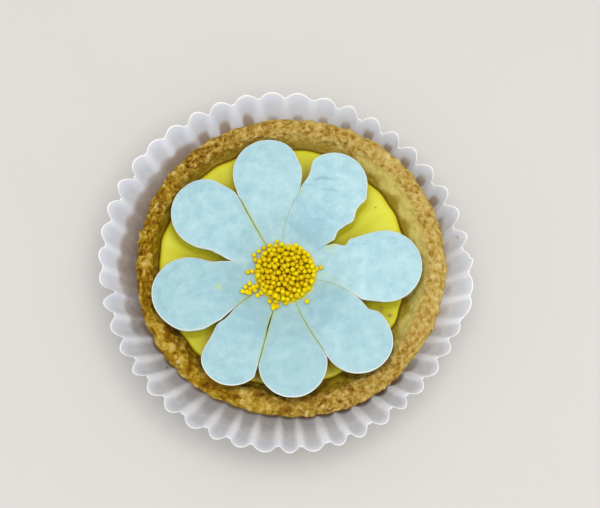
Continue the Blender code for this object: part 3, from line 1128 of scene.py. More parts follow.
    def _flakes(self, points: Array, lumps: Lumps) -> Array:
        """Uneven flakes with crevices between them.

        Args:
            points: Points, one a row.
            lumps: Where the unevenness comes from.

        Returns:
            A number a point, level on average and about -2 to 2.
        """
        far = np.array(self.far_step)
        bend = [lumps.soft(points + shift * far, self.warp_size) for shift in (1.0, 2.0, 3.0)]
        bent = points + self.warp * np.stack(bend, axis=1)
        (large, small), (large_weight, small_weight) = self.flake_sizes, self.flake_weights
        flakes = large_weight * lumps.soft(bent, large) + small_weight * lumps.soft(bent + far, small)
        flakes += self.grain_weight * (lumps.grains(bent, self.grain_size) - self.grain_mean)
        crevice = hill(lumps.soft(bent + 4.0 * far, self.crevice_size), self.crevice_width)
        open_there = np.clip(0.5 + 2.0 * lumps.soft(points + 5.0 * far, self.crevice_patch), 0.0, 1.0)
        flakes -= self.crevice_weight * crevice * open_there
        return (flakes - flakes.mean()) / flakes.std()

    def _pressed(self, degrees: Array, across: Array) -> Array:
        """Where the slope is smooth from fingertips: wide on the right, a thin band elsewhere.

        Args:
            degrees: Directions from the crust's middle.
            across: How far across the ring.

        Returns:
            Shares from 0 to 1.
        """
        right = strongest(self.pressed, degrees)
        elsewhere, at_right = self.pressed_from
        begins = elsewhere - (elsewhere - at_right) * right
        return ease((across - begins) / 0.2) * (0.6 + 0.4 * right)

    def _smooth(self, degrees: Array, across: Array) -> Array:
        """How pale the pressed slope is: dark beside the curd, with painted shade in the dents, pale on the
        right.

        Args:
            degrees: Directions from the crust's middle.
            across: How far across the ring.

        Returns:
            Shares from 0 to 1.
        """
        dent = self._dent(degrees)
        clear = 1.0 - ease((across - self.dark_from + self.dark_in_dents * dent) / self.dark_fade)
        right = 0.12 + 0.88 * strongest(self.pale_slope, degrees)
        return right * (0.18 + 0.82 * clear) * (1.0 - 0.25 * dent)

    def _scorch(self, degrees: Array, across: Array) -> Array:
        """Where the crust is baked darkest: at the near left, and beside the petals at the near right."""
        left = self.scorched_left.share(degrees) * ease((across - 0.2) / 0.5)
        return np.maximum(left, self.scorched_right.share(degrees) * ease((across - 0.3) / 0.3))

    def _shadow(self, points: Array, across: Array, daisy: "Daisy") -> Array:
        """How dark the crust is beside the curd and round the petals' heads."""
        by_petals = self.petal_shadow * hill(daisy.distances(points[:, :2])[0], self.petal_shadow_width)
        return np.maximum(self.curd_shadow * ease((across - 0.93) / 0.05), by_petals)

    def _close(self, points: Array, marks: Marks, degrees: Array) -> Draft:
        """Closes the shell under the curd and below.

        Args:
            points: The shell's points.
            marks: Numbers kept at them, by name.
            degrees: Directions of a ring's points.

        Returns:
            The mesh in the making.
        """
        bottom = self.plan.curd_top - self.groove_depth
        inner = self.plan.crust + self.groove_share * self.curd_edge(degrees)[:, None] * direction(degrees)
        hubs = np.array([[*self.plan.crust, self.foot], [*self.plan.crust, bottom]])
        rings = np.concatenate([points, to_points(inner, bottom)])
        draft = Draft()
        extra = {name: np.append(values, np.zeros(self.steps)) for name, values in marks.items()}
        draft.add_closed(rings, self.steps, hubs, extra)
        return draft


# ---- paper case


@dataclass(frozen=True)
class ShadowAndStain:
    """Painted crust shadow and butter soaked into the paper: where, how far out from the crust, how dark, and
    if bands have it too.
    """

    where: Sector
    reach: float
    depth: float
    in_bands: bool = False


@dataclass
class PaperCase:
    """The fluted case: a flat floor and a flared wall of rounded lobes with folded bands between."""

    plan: Plan
    crust: Crust
    height: float = 21.0 * MM
    paper: float = 0.16 * MM
    base_radius: float = 47.0 * MM
    rim_radius: float = 65.3 * MM
    bulge: float = 1.2 * MM
    flutes: int = 45
    depth_rim: float = 3.1 * MM
    depth_base: float = 0.8 * MM
    rounding: float = 1.95
    band_steps: int = 3
    lobe_steps: int = 16
    lobe_spacing: float = 0.6  # 0 spaces a lobe's points evenly, 1 crowds them at its flanks
    band_width: Place = (0.03, 0.09)
    band_at_floor: float = 0.1
    wide_bands: Sector = Sector(265.0, 30.0, 30.0, 0.03)
    band_hollow: float = 0.07
    band_crest: float = 0.8
    crest_reach: float = 0.16
    lobe_lift: float = 0.9 * MM
    lobe_level: float = 0.7
    wall_rings: int = 34
    wall_spacing: float = 1.25
    floor_rings: tuple[float, ...] = (0.3, 0.6, 0.85, 0.95)
    start: float = 90.0
    drift: Waves = ((1, 2.1, 218.6), (2, 0.8, 284.0))
    out_of_round: Waves = (
        (2, 0.85 * MM, 300.0),
        (3, 0.55 * MM, 17.0),
        (4, 0.30 * MM, 178.0),
        (5, 0.25 * MM, 8.0),
    )
    rim_wave: Waves = ((3, 0.35 * MM, 40.0), (7, 0.25 * MM, 10.0))
    depth_changes: tuple[tuple[float, float, float], ...] = (  # direction, half width, factor
        (90.0, 15.0, 0.55),
        (137.0, 6.0, 0.45),
        (178.0, 6.0, 0.40),
        (187.0, 3.0, 1.70),
        (353.0, 13.0, 0.35),
        (272.0, 24.0, 0.82),
    )
    rim_bulge: tuple[float, float, float] = (351.0, 10.0, 1.5 * MM)  # direction, half width, size
    seam_direction: float = 4.0
    seam_step: float = 0.9 * MM
    seam_fade: float = 9.0
    uneven_depth: float = 0.24
    uneven_turn: float = 0.55
    uneven_rim: float = 0.30 * MM
    grey_least: float = 0.2
    grey: tuple[Sector, ...] = (Sector(130.0, 26.0, 26.0, 0.5), Sector(268.0, 50.0, 44.0, 0.8))
    glow_sectors: tuple[Sector, ...] = (Sector(270.0, 76.0, 40.0), Sector(318.0, 24.0, 22.0, 0.9))
    contact_shadow: Sector = Sector(262.0, 52.0, 24.0)
    contact_clear: float = 1.3 * MM
    contact_fade: float = 1.6 * MM
    shadows_and_stains: tuple[ShadowAndStain, ...] = (
        ShadowAndStain(Sector(155.0, 24.0, 14.0), 7.1 * MM, 0.74, True),
        ShadowAndStain(Sector(182.0, 14.0, 16.0), 5.2 * MM, 0.6, True),
        ShadowAndStain(Sector(120.0, 14.0, 14.0), 6.8 * MM, 0.98),
        ShadowAndStain(Sector(46.0, 20.0, 18.0), 4.2 * MM, 0.9),
        ShadowAndStain(Sector(84.0, 24.0, 14.0), 4.8 * MM, 0.75),
        ShadowAndStain(Sector(8.0, 30.0, 22.0), 2.6 * MM, 0.4),
    )
    shadow_step: float = 0.9 * MM  # how much further the painted shadow and butter reach in a lobe than in a band
    shadow_fade: Place = (1.8 * MM, 2.8 * MM)
    bright_edge: float = 0.975
    seed: int = 5

    def _depth_share(self, degrees: Array) -> Array:
        """How deep the flutes are, as a share of the usual depth.

        Args:
            degrees: Directions from the case's middle.

        Returns:
            The shares.
        """
        share = np.ones_like(degrees)
        for where, half_width, factor in self.depth_changes:
            near = 1.0 - turn_between(degrees, where) / (1.6 * half_width)
            share *= 1.0 + (factor - 1.0) * ease(1.8 * near)
        return share

    def _draw(self) -> dict[str, Array]:
        """Draws where the folds are, and what is particular to each flute.

        Returns:
            Numbers for each flute, by name.
        """
        draw = random.Random(self.seed)

        def uneven(spread: float) -> Array:
            """A random number for each flute, up to spread either way."""
            return np.array([draw.uniform(-spread, spread) for _ in range(self.flutes)])

        even = self.start + round_trip(self.flutes)
        folds = even + harmonics(self.drift, even) + uneven(self.uneven_turn)
        narrow, wide = self.band_width
        bands = 0.5 * (narrow + wide) + uneven(0.5 * (wide - narrow)) + self.wide_bands.share(folds)
        depth = 1.0 + uneven(self.uneven_depth)
        return {"folds": folds, "bands": bands, "depth": depth, "lift": uneven(self.uneven_rim)}

    def _profile(self, drawn: Marks, climb: float) -> tuple[Array, ...]:
        """Works out the flutes round one ring.

        Args:
            drawn: What is particular to each flute.
            climb: How far up the wall the ring is.

        Returns:
            Directions, heights across the lobes and nearness to a fold's crest, of the ring's points.
        """
        folds = drawn["folds"]
        bands = drawn["bands"] * (self.band_at_floor + (1.0 - self.band_at_floor) * climb)
        following = np.append(folds[1:], folds[0] + 360.0)[:, None]
        first, last = bands[:, None], np.append(bands[1:], bands[0])[:, None]
        band = np.arange(self.band_steps) / self.band_steps
        even = np.arange(self.lobe_steps) / self.lobe_steps
        crowded = 0.5 - 0.5 * np.cos(math.pi * even)
        lobe = self.lobe_spacing * crowded + (1.0 - self.lobe_spacing) * even
        rise = 1.0 - np.abs(2.0 * lobe - 1.0) ** self.rounding
        over_lobe = first + (1.0 - first - last) * lobe
        shares = np.concatenate([first * band, over_lobe, 1.0 - last * (1.0 - band)], axis=1)
        hollow = self.band_hollow * climb
        heights = np.concatenate([hollow * (1.0 - band), rise, hollow * band])
        flank = 1.0 - ease(np.minimum(lobe, 1.0 - lobe) / self.crest_reach)
        in_band = np.full(self.band_steps, self.band_crest)
        crests = np.concatenate([in_band, flank, in_band])
        degrees = folds[:, None] + (following - folds[:, None]) * shares
        return degrees.reshape(-1), np.tile(heights, self.flutes), np.tile(crests, self.flutes)

    def _ring(self, drawn: Marks, climb: float, inset: float) -> Array:
        """Points of one ring of the wall.

        Args:
            drawn: What is particular to each flute.
            climb: How far up the wall the ring is, 0 at the floor and 1 at the rim.
            inset: How far inside the outer side of the paper.

        Returns:
            The points.
        """
        degrees, lobe, _ = self._profile(drawn, climb)
        each = 2 * self.band_steps + self.lobe_steps
        depth = self.depth_base + (self.depth_rim - self.depth_base) * climb
        radius = self.base_radius + (self.rim_radius - self.base_radius) * climb
        radius += self.bulge * math.sin(math.pi * climb)
        where, half_width, size = self.rim_bulge
        bulge = size * ease(1.0 - turn_between(degrees, where) / half_width)
        past_seam = (self.seam_direction - degrees) % 360.0
        overlap = self.seam_step * np.clip(1.0 - past_seam / self.seam_fade, 0.0, 1.0)
        radii = radius + (harmonics(self.out_of_round, degrees) + bulge + overlap) * climb
        depths = depth * self._depth_share(degrees) * self._blend(drawn["depth"], each)
        radii -= depths * (1.0 - lobe) + inset
        lift = np.repeat(drawn["lift"], each) * lobe + self.lobe_lift * (lobe - self.lobe_level)
        lift += harmonics(self.rim_wave, degrees)
        return to_points(self.plan.case + radii[:, None] * direction(degrees), (self.height + lift) * climb)

    def _blend(self, values: Array, each: int) -> Array:
        """Values that change evenly from the middle of one flute to the middle of the next.

        Args:
            values: A number for each flute.
            each: How many points a flute has.

        Returns:
            A number for each point of a ring.
        """
        place = (np.arange(each * self.flutes) + 0.5) / each - 0.5
        low = np.floor(place).astype(int)
        share = place - low
        return values[low % self.flutes] * (1.0 - share) + values[(low + 1) % self.flutes] * share

    def build(self, finish: Material) -> Piece:
        """Builds the case as one closed sheet of paper.

        Args:
            finish: Its material.

        Returns:
            The piece.
        """
        drawn = self._draw()
        climbs = 1.0 - (1.0 - np.linspace(0.0, 1.0, self.wall_rings)) ** self.wall_spacing
        sides = []
        for inset in (0.0, self.paper):
            wall = [self._ring(drawn, climb, inset) for climb in climbs]
            wall[0][:, 2] = inset
            middle = np.array([*self.plan.case, inset])
            sides.append([middle + (wall[0] - middle) * share for share in self.floor_rings] + wall)
        outer, inner = sides
        rings = outer + inner[::-1]
        upward = [0.0] * len(self.floor_rings) + list(climbs)
        levels = upward + upward[::-1]
        profiles = [self._profile(drawn, level) for level in levels]
        lobe = np.concatenate([lobes for _, lobes, _ in profiles])
        crest = np.concatenate([crests for _, _, crests in profiles])
        climb = np.repeat(levels, len(rings[0]))
        points = np.concatenate(rings)
        degrees = bearing(points[:, :2] - self.plan.case)
        inside = (np.arange(len(points)) >= len(points) // 2).astype(float)
        # Paper marks: painted light low in the case, shade in hollows, highlights on crests and edge, crust
        # shadow with butter, contact shadow and glow.
        marks = {
            "valley_shade": self._valley_shade(degrees, lobe, climb) * inside,
            "crest": crest * ease(climb / 0.3),
            "deep": 1.0 - ease((climb - 0.35) / 0.5),
            "edge": (climb > self.bright_edge).astype(float),
            "shadow_and_grease": self._shadow_and_grease(points, lobe) * inside,
            "contact_shadow": self._contact_shadow(degrees, points[:, 2]) * inside,
            "glow": self._glow(degrees, climb) * inside,
        }
        hubs = np.array([[*self.plan.case, 0.0], [*self.plan.case, self.paper]])
        draft = Draft()
        draft.add_closed(points, len(rings[0]), hubs, marks)
        return draft.piece("pleated_case", finish, "white_paper", ["paper_case"])

    def _valley_shade(self, degrees: Array, lobe: Array, climb: Array) -> Array:
        """How much painted shade greys the hollow side of each flute: most on the near side, least towards
        the rim.

        Args:
            degrees: Directions from the case's middle.
            lobe: Heights across the lobes.
            climb: How far up the wall.

        Returns:
            Shares, 0 where the paper is white.
        """
        sides = self.grey_least + sum(sector.share(degrees) for sector in self.grey)
        to_rim = 1.0 - 0.7 * ease((climb - 0.74) / 0.24)
        return sides * ease((lobe - 0.38) / 0.5) * to_rim * ease(climb / 0.3)

    def _contact_shadow(self, degrees: Array, heights: Array) -> Array:
        """How much painted shadow darkens the paper right under the crust's edge on the near side.

        Args:
            degrees: Directions from the case's middle.
            heights: Heights on the wall.

        Returns:
            Shares from 0 to 1.
        """
        lean = self.plan.sight_slope * np.sin(np.radians(degrees))
        edge = self.crust.radius + direction(degrees) @ (self.plan.crust - self.plan.case)
        steepness = (self.rim_radius - self.base_radius) / self.height
        meets = (edge - self.base_radius + (self.crust.top - self.crust.shoulder) * lean) / (steepness + lean)
        above = (heights - meets - self.contact_clear) / self.contact_fade
        return self.contact_shadow.share(degrees) * (1.0 - ease(above))

    def _glow(self, degrees: Array, climb: Array) -> Array:
        """How strongly the paper is painted to glow, standing in for light let in from outside, deep in the
        case on the near side.
        """
        near_side = sum(sector.share(degrees) for sector in self.glow_sectors)
        return near_side * (1.0 - 0.6 * ease((climb - 0.3) / 0.65))

    def _shadow_and_grease(self, points: Array, lobe: Array) -> Array:
        """How much painted crust shadow and soaked butter the paper has, from how near it lies to the crust.

        Args:
            points: Points of the paper.
            lobe: Heights across the lobes.

        Returns:
            Shares from 0 to 1.
        """
        offsets = points[:, :2] - self.plan.crust
        degrees = bearing(offsets)
        reach = np.maximum.reduce([shadow_and_stain.reach * shadow_and_stain.where.share(degrees) for shadow_and_stain in self.shadows_and_stains])
        depth = np.maximum.reduce([shadow_and_stain.depth * shadow_and_stain.where.share(degrees) for shadow_and_stain in self.shadows_and_stains])
        in_bands = strongest([shadow_and_stain.where for shadow_and_stain in self.shadows_and_stains if shadow_and_stain.in_bands], degrees)
        hollow = 1.0 - 0.95 * (1.0 - in_bands) * (1.0 - ease((lobe - 0.55) / 0.4))
        away = np.linalg.norm(offsets, axis=1) - self.crust.radius - self.shadow_step * (lobe - 0.5)
        before, fade = self.shadow_fade
        return depth * hollow * (1.0 - ease((away - reach + before) / fade))


# ---- petals


class Side(Enum):
    """A petal's flanks, as seen from the daisy's heart."""

    RIGHT = -1
    LEFT = 1


@dataclass(frozen=True)
class Nudge:
    """A local change of a petal's flank, in millimetres: outward if size is positive."""

    side: Side
    distance: float
    half_width: float
    size: float


@dataclass(frozen=True)
class Fold:
    """A wrinkle on a petal, in millimetres and degrees: hollow, or raised if its depth is negative."""

    along: float
    aside: float
    half_length: float
    depth: float
    tilt: float

    def depth_at(self, along: Array, aside: Array, width: float) -> Array:
        """How deep the wrinkle is at these places.

        Args:
            along: Distances from the heart along the petal.
            aside: Distances to the left of its middle line.
            width: Width of a wrinkle.

        Returns:
            The depths.
        """
        cosine, sine = direction(self.tilt)
        over, beside = along - MM * self.along, aside - MM * self.aside
        line = hill(over * cosine + beside * sine, width)
        from_middle = np.abs(beside * cosine - over * sine) / (MM * self.half_length)
        return MM * self.depth * line * ease(1.3 - from_middle)


@dataclass(frozen=True)
class Petal:
    """One petal: where its round head is, in degrees and millimetres, and what is particular to it."""

    turn: float
    distance: float
    radius: float
    nudges: tuple[Nudge, ...] = ()
    folds: tuple[Fold, ...] = ()

    @property
    def axis(self) -> Array:
        """Unit vector from the heart to the head."""
        return direction(self.turn)

    @property
    def head(self) -> Place:
        """The head's distance from the heart and its radius, in metres."""
        return self.distance * MM, self.radius * MM


@dataclass(frozen=True)
class Seam:
    """Where two petals meet: directions near the heart and further out, end in millimetres, strength."""

    inner: float
    outer: float
    end: float
    strength: float


L, R = Side.LEFT, Side.RIGHT  # as the table of petals writes them


@dataclass
class Daisy:
    """Eight petals of piped cream that meet at seams round the heart."""

    plan: Plan
    crust: Crust
    petals: tuple[Petal, ...] = (
        Petal(5.0, 35.2, 13.0, (Nudge(L, 23.5, 3.2, -1.8),)),
        Petal(
            62.0,
            37.1,
            11.7,
            (
                Nudge(L, 38.0, 6.5, -2.2),
                Nudge(R, 39.6, 3.0, 0.7),
                Nudge(R, 31.0, 4.0, 1.4),
                Nudge(R, 24.5, 3.3, -0.8),
            ),
            (
                Fold(37.7, 3.2, 5.6, 0.50, 28.0),
                Fold(36.8, 4.6, 3.4, 0.35, 24.0),
                Fold(34.4, 0.7, 4.6, 0.40, 22.0),
                Fold(33.0, 7.4, 2.2, 0.35, 10.0),
                Fold(26.6, -2.8, 2.4, 0.35, -13.0),
                Fold(22.4, -0.5, 3.6, 0.28, 16.0),
                Fold(40.6, -1.0, 3.0, -0.25, 12.0),
                Fold(30.0, -5.5, 2.0, -0.30, 62.0),
                Fold(38.5, -9.0, 5.0, 0.18, 70.0),
            ),
        ),
        Petal(98.6, 37.1, 12.5, (Nudge(R, 42.0, 7.0, -1.1),)),
        Petal(140.5, 35.0, 12.6, (Nudge(R, 39.0, 6.0, -1.1), Nudge(L, 26.0, 7.0, -1.5))),
        Petal(
            191.6,
            33.9,
            13.0,
            (
                Nudge(R, 25.0, 7.5, -1.3),
                Nudge(L, 28.0, 6.0, 0.4),
                Nudge(L, 33.6, 5.5, 0.9),
                Nudge(L, 40.0, 7.0, 0.8),
            ),
            (
                Fold(39.1, -7.1, 1.6, -0.50, -50.0),
                Fold(33.0, -9.7, 1.5, -0.50, -70.0),
                Fold(30.4, -4.5, 1.4, -0.45, -40.0),
                Fold(35.9, -3.1, 1.7, -0.40, -60.0),
                Fold(38.7, 5.4, 2.2, -0.35, 40.0),
                Fold(33.5, -1.5, 1.9, 0.45, -12.0),
                Fold(27.6, -4.9, 2.4, 0.35, -75.0),
                Fold(31.6, 1.8, 2.2, 0.30, -70.0),
                Fold(24.0, -2.2, 2.6, 0.25, -65.0),
                Fold(36.2, -10.6, 2.0, 0.30, -60.0),
            ),
        ),
        Petal(
            238.1,
            34.4,
            11.0,
            (Nudge(R, 25.5, 5.0, -0.6), Nudge(R, 36.5, 8.0, -1.4), Nudge(L, 19.0, 6.0, -0.35)),
        ),
        Petal(275.0, 32.8, 11.8, (Nudge(L, 33.0, 9.0, 0.5),), (Fold(14.2, 0.0, 2.6, 0.5, 0.0),)),
        Petal(
            317.6,
            34.9,
            12.3,
            (Nudge(L, 32.0, 3.5, -0.9), Nudge(L, 23.5, 6.5, 1.2), Nudge(L, 42.0, 7.0, -0.6)),
        ),
    )
    dims: tuple[float, ...] = (0.0, 0.0, 0.4, 0.4, 1.0, 0.9, 1.1, 0.6)
    cool_necks: tuple[float, ...] = (-0.1, 0.7, 0.1, 0.3, 0.5, 0.6, 0.1, 0.5)
    mottles: tuple[float, ...] = (0.2, 0.3, 0.2, 0.6, 1.3, 1.2, 0.7, 0.5)
    seam_turns: Place = (15.0 * MM, 30.0 * MM)
    seams: tuple[Seam, ...] = (
        Seam(36.0, 36.0, 22.0, 0.1),
        Seam(92.0, 80.0, 35.0, 0.3),
        Seam(121.0, 119.5, 33.5, 1.0),
        Seam(165.0, 165.0, 20.0, 0.1),
        Seam(213.5, 217.5, 23.0, 0.8),
        Seam(254.0, 254.5, 35.5, 0.9),
        Seam(291.5, 296.5, 32.0, 0.7),
        Seam(349.5, 340.5, 26.0, 0.4),
    )
    seam_gap: Place = (0.004 * MM, 0.09 * MM)
    seam_fade: float = 5.0 * MM
    seam_width: float = 0.5 * MM
    seam_from: Place = (9.0 * MM, 5.0 * MM)
    waist: Place = (16.0 * MM, 9.0 * MM)
    root: Place = (3.0 * MM, 2.9 * MM)
    circles: int = 24
    root_thickness: float = 3.5 * MM
    head_thickness: float = 7.6 * MM
    thickening: Place = (11.8 * MM, 27.0 * MM)
    lift: float = 0.08 * MM
    cad_lift: float = 0.55 * MM
    rows: int = 84
    row_spacing: float = 1.8
    columns: int = 48
    equator: float = 0.90
    seam_equator: Place = (0.997, 0.975)
    round_over: float = 0.8 * MM
    tuck_under: float = 2.4 * MM
    tuck_curve: float = 0.65
    weld: float = 0.004 * MM
    traced_height: float = 26.2 * MM
    outline_stride: int = 4
    wobble: float = 0.28 * MM
    wobble_size: float = 6.0 * MM
    crown: float = 0.7 * MM
    crown_width: float = 5.0 * MM
    loosening: float = 4.0 * MM
    lump_heights: Place = (0.32 * MM, 0.12 * MM)
    lump_sizes: Place = (3.2 * MM, 1.5 * MM)
    petal_step: float = 0.01  # between the lumps of one petal and the next
    arc_depth: float = 0.04 * MM
    arc_pitch: float = 1.9 * MM
    arc_sway: Place = (0.5 * MM, 1.4 * MM)
    fold_width: float = 0.42 * MM
    fold_sway: float = 0.9 * MM
    fold_sway_size: float = 3.0 * MM
    full_crease: float = 0.8 * MM
    rim_width: Place = (0.16 * MM, 0.3 * MM)
    under_width: float = 0.12 * MM
    neck: float = 19.0 * MM
    neck_width: float = 8.0 * MM
    dusted: Place = (9.3 * MM, 2.6 * MM)
    smears: tuple[tuple[float, float, float, float], ...] = (  # place, size, strength
        (-23.3, -8.3, 1.6, 0.9),
        (15.6, 7.6, 2.4, 0.8),
        (5.7, 26.5, 1.8, 0.6),
        (16.8, 4.2, 0.9, 0.6),
        (13.8, -2.4, 1.8, 0.55),
        (17.5, -4.6, 1.8, 0.5),
    )
    seed: int = 33

    def top(self, places: Array) -> Array:
        """Height of the cream's upper side, low over the roots and full over the heads.

        Args:
            places: Places in the plan.

        Returns:
            The heights.
        """
        begin, end = self.thickening
        share = ease((np.linalg.norm(places - self.plan.heart, axis=-1) - begin) / (end - begin))
        thick = self.root_thickness + (self.head_thickness - self.root_thickness) * share
        return self.plan.curd_top + self.cad_lift + thick

    def _seam(self, index: int, distance: float) -> float:
        """Direction of a seam at this distance from the heart."""
        seam, (near, far) = self.seams[index], self.seam_turns
        return seam.inner + (seam.outer - seam.inner) * min(max((distance - near) / (far - near), 0.0), 1.0)

    def _gap(self, index: int, distance: float) -> float:
        """How far a petal keeps from a seam at this distance from the heart."""
        closed, clear = self.seam_gap
        return closed + (clear - closed) * self.seams[index].strength * ease(distance / self.thickening[1])

    def _half_angle(self, distance: float, head: Place) -> float:
        """Half the angle that a petal covers at this distance if nothing stops it.

        Args:
            distance: Distance from the heart.
            head: The head's distance and radius.

        Returns:
            The angle.
        """
        widest = 0.0
        for (near, near_radius), (far, far_radius) in ((self.root, self.waist), (self.waist, head)):
            for share in np.linspace(0.0, 1.0, self.circles):
                middle = near + (far - near) * share
                radius = near_radius + (far_radius - near_radius) * share
                cosine = (distance**2 + middle**2 - radius**2) / (2.0 * distance * middle)
                if abs(cosine) <= 1.0:
                    widest = max(widest, math.degrees(math.acos(cosine)))
        return widest

    def _flanks(self, index: int) -> Array:
        """Works out a petal's two flanks.

        Args:
            index: Which petal.

        Returns:
            Distance, right direction and left direction of each row, from root to tip.
        """
        petal = self.petals[index]
        first, last = self.root[0], sum(petal.head)
        rows = []
        for share in np.linspace(0.0, 1.0, self.rows):
            distance = last - (last - first) * (1.0 - share) ** self.row_spacing
            spread = self._half_angle(distance, petal.head)
            gaps = [math.degrees(self._gap(side, distance) / distance) for side in (index - 1, index)]
            first_seam = nearest_turn(self._seam(index - 1, distance), petal.turn) + gaps[0]
            second_seam = nearest_turn(self._seam(index, distance), petal.turn) - gaps[1]
            low, high = max(petal.turn - spread, first_seam), min(petal.turn + spread, second_seam)
            for nudge in petal.nudges:
                near = ease(1.0 - abs(distance - MM * nudge.distance) / (MM * nudge.half_width))
                shift = math.degrees(MM * nudge.size * near / distance)
                low -= shift if nudge.side is R else 0.0
                high += shift if nudge.side is L else 0.0
            low, high = max(low, first_seam), min(high, second_seam)
            rows.append((distance, min(low, petal.turn), max(high, petal.turn)))
        return np.array(rows)

    def _slid(self, places: Array) -> Array:
        """Places moved to the near side, by as much as the height of the cream's edge moves it in view."""
        slide = self.plan.sight_slope * (self.top(places) - self.traced_height)
        return places - slide[..., None] * np.array([0.0, 1.0])

    def _ring(self, rows: Array) -> Array:
        """A petal's outline in the plan from its flanks, as traced at one height, anticlockwise."""
        right, left = (self.plan.heart + rows[:, :1] * direction(rows[:, flank]) for flank in (1, 2))
        return np.concatenate([right, left[::-1][1:]])

    def distances(self, places: Array) -> Array:
        """Distances from places to the petals' outlines."""
        rings = [self._slid(self._ring(self._flanks(index))) for index in range(len(self.petals))]
        return np.sort([distance_to(places, ring[:: self.outline_stride]) for ring in rings], axis=0)

    def _ripples(self, index: int, places: Array, lumps: Lumps) -> Array:
        """Marks of the nozzle and of settling: soft lumps, arcs round the head and across the neck.

        Args:
            index: Which petal.
            places: Places on it, as traced.
            lumps: Where the unevenness comes from.

        Returns:
            Heights to add.
        """
        petal = self.petals[index]
        head, radius = petal.head
        along = (places - self.plan.heart) @ petal.axis
        flat = to_points(places, self.petal_step * index)
        (wide_height, fine_height), (wide_size, fine_size) = self.lump_heights, self.lump_sizes
        wide = lumps.soft(flat, wide_size)
        relief = wide_height * wide + fine_height * lumps.soft(flat, fine_size)
        from_head = np.linalg.norm(places - self.plan.heart - head * petal.axis, axis=1)
        outer = ease((along - head + 0.3 * radius) / (0.5 * radius))
        round_head, round_neck = self.arc_sway
        arcs = np.sin(math.tau * (from_head + round_head * wide) / self.arc_pitch)
        relief += self.arc_depth * arcs * outer * ease(from_head / (0.5 * radius))
        neck = 1.0 - ease((along - head + 0.2 * radius) / (0.6 * radius))
        bands = np.sin(math.tau * (along + round_neck * wide) / (1.5 * self.arc_pitch))
        return relief + 0.7 * self.arc_depth * bands * neck

    def _creases(self, index: int, places: Array, lumps: Lumps) -> Array:
        """Depth of the wrinkles on a petal.

        Args:
            index: Which petal.
            places: Places on it, as traced.
            lumps: Where the unevenness comes from.

        Returns:
            The depths.
        """
        petal = self.petals[index]
        offsets = places - self.plan.heart
        sway = self.fold_sway * lumps.soft(to_points(places, self.petal_step * index), self.fold_sway_size)
        along = offsets @ petal.axis + sway
        aside = offsets @ np.array([-petal.axis[1], petal.axis[0]])
        total = np.zeros(len(places))
        for fold in petal.folds:
            total += fold.depth_at(along, aside, self.fold_width)
        return total

    def _cool(self, index: int, places: Array) -> Array:
        """How much bluer the cream is in a petal's neck."""
        from_neck = np.linalg.norm(places - self.plan.heart - self.neck * self.petals[index].axis, axis=1)
        return self.cool_necks[index] * hill(from_neck, self.neck_width)

    def _smeared(self, places: Array) -> Array:
        """How much curd is smeared on the cream.

        Args:
            places: Places in the plan, one a row.

        Returns:
            Shares from 0 to 1.
        """
        total = np.zeros(len(places))
        for x, y, size, strength in self.smears:
            away = np.linalg.norm(places - MM * np.array([x, y]), axis=1)
            total += strength * hill(away, MM * size)
        return np.clip(total, 0.0, 1.0)

    def build_petal(self, index: int, finish: Material, lumps: Lumps) -> Piece:
        """Builds one petal as a closed pillow.

        Args:
            index: Which petal.
            finish: Its material.
            lumps: Where its unevenness comes from.

        Returns:
            The piece.
        """
        rows = self._flanks(index)
        share = 0.5 - 0.5 * np.cos(math.pi * np.linspace(0.0, 1.0, self.columns))
        turns = rows[:, 1:2] + (rows[:, 2:3] - rows[:, 1:2]) * share
        traced = (self.plan.heart + rows[:, :1, None] * direction(turns)).reshape(-1, 2)
        places = self._slid(traced)
        edge = distance_to(traced, self._ring(rows))
        far = np.linalg.norm(traced - self.plan.heart, axis=1)
        wobble = np.array([noise.noise(Vector((x, y, index * MM)) / self.wobble_size) for x, y in traced])
        creases = self._creases(index, traced, lumps)
        crown = self.crown * ease(edge / self.crown_width)
        uneven = crown + self.wobble * wobble + self._ripples(index, traced, lumps) - creases
        loose = ease((far - self.thickening[0]) / self.loosening)
        low = self.crust.support(places) + self.lift
        high = self.top(traced) - 0.6 * self.crown * loose + loose * uneven
        thick = high - low
        in_right_half = np.tile(share < 0.5, self.rows)
        right, left = self.seams[index - 1], self.seams[index]
        strength = np.where(in_right_half, right.strength, left.strength)
        end = np.where(in_right_half, right.end * MM, left.end * MM)
        joined = 1.0 - ease((far - end + self.seam_fade) / self.seam_fade)
        tight, parted = self.seam_equator
        equator = self.equator + (tight + (parted - tight) * strength - self.equator) * joined
        dome = np.sqrt(np.clip(1.0 - (1.0 - np.clip(edge / self.round_over, 0.0, 1.0)) ** 2, 0.0, 1.0))
        tuck = np.clip(edge / self.tuck_under, 0.0, 1.0) ** self.tuck_curve
        upper = to_points(places, low + thick * (equator + (1.0 - equator) * dome))
        lower = to_points(places, low + thick * equator * (1.0 - tuck))
        rim_flat, rim_fade = self.rim_width
        seam_begin, seam_rise = self.seam_from
        seam_line = np.exp(-edge / self.seam_width) * ease((far - seam_begin) / seam_rise)
        dusted, dust_fade = self.dusted
        from_heap = np.linalg.norm(places - self.plan.heap, axis=1)
        # Painted highlight on the rim, and painted shading of the folds.
        on_top = {
            "rim": (1.0 - ease((edge - rim_flat) / rim_fade)) * (1.0 - joined),
            "crease": creases / self.full_crease,
            "cool": self._cool(index, traced),
            "sugar": 1.0 - ease((from_heap - dusted) / dust_fade),
        }
        # The seam mark is painted shade tinted by light reflected from the curd.
        all_over = {
            "seam": strength * seam_line * joined,
            "smear": self._smeared(places),
            "dim": np.full(len(places), self.dims[index]),
            "mottle": np.full(len(places), self.mottles[index]),
        }
        marks = {name: np.append(values, np.zeros(len(places))) for name, values in on_top.items()}
        marks |= {name: np.tile(values, 2) for name, values in all_over.items()}
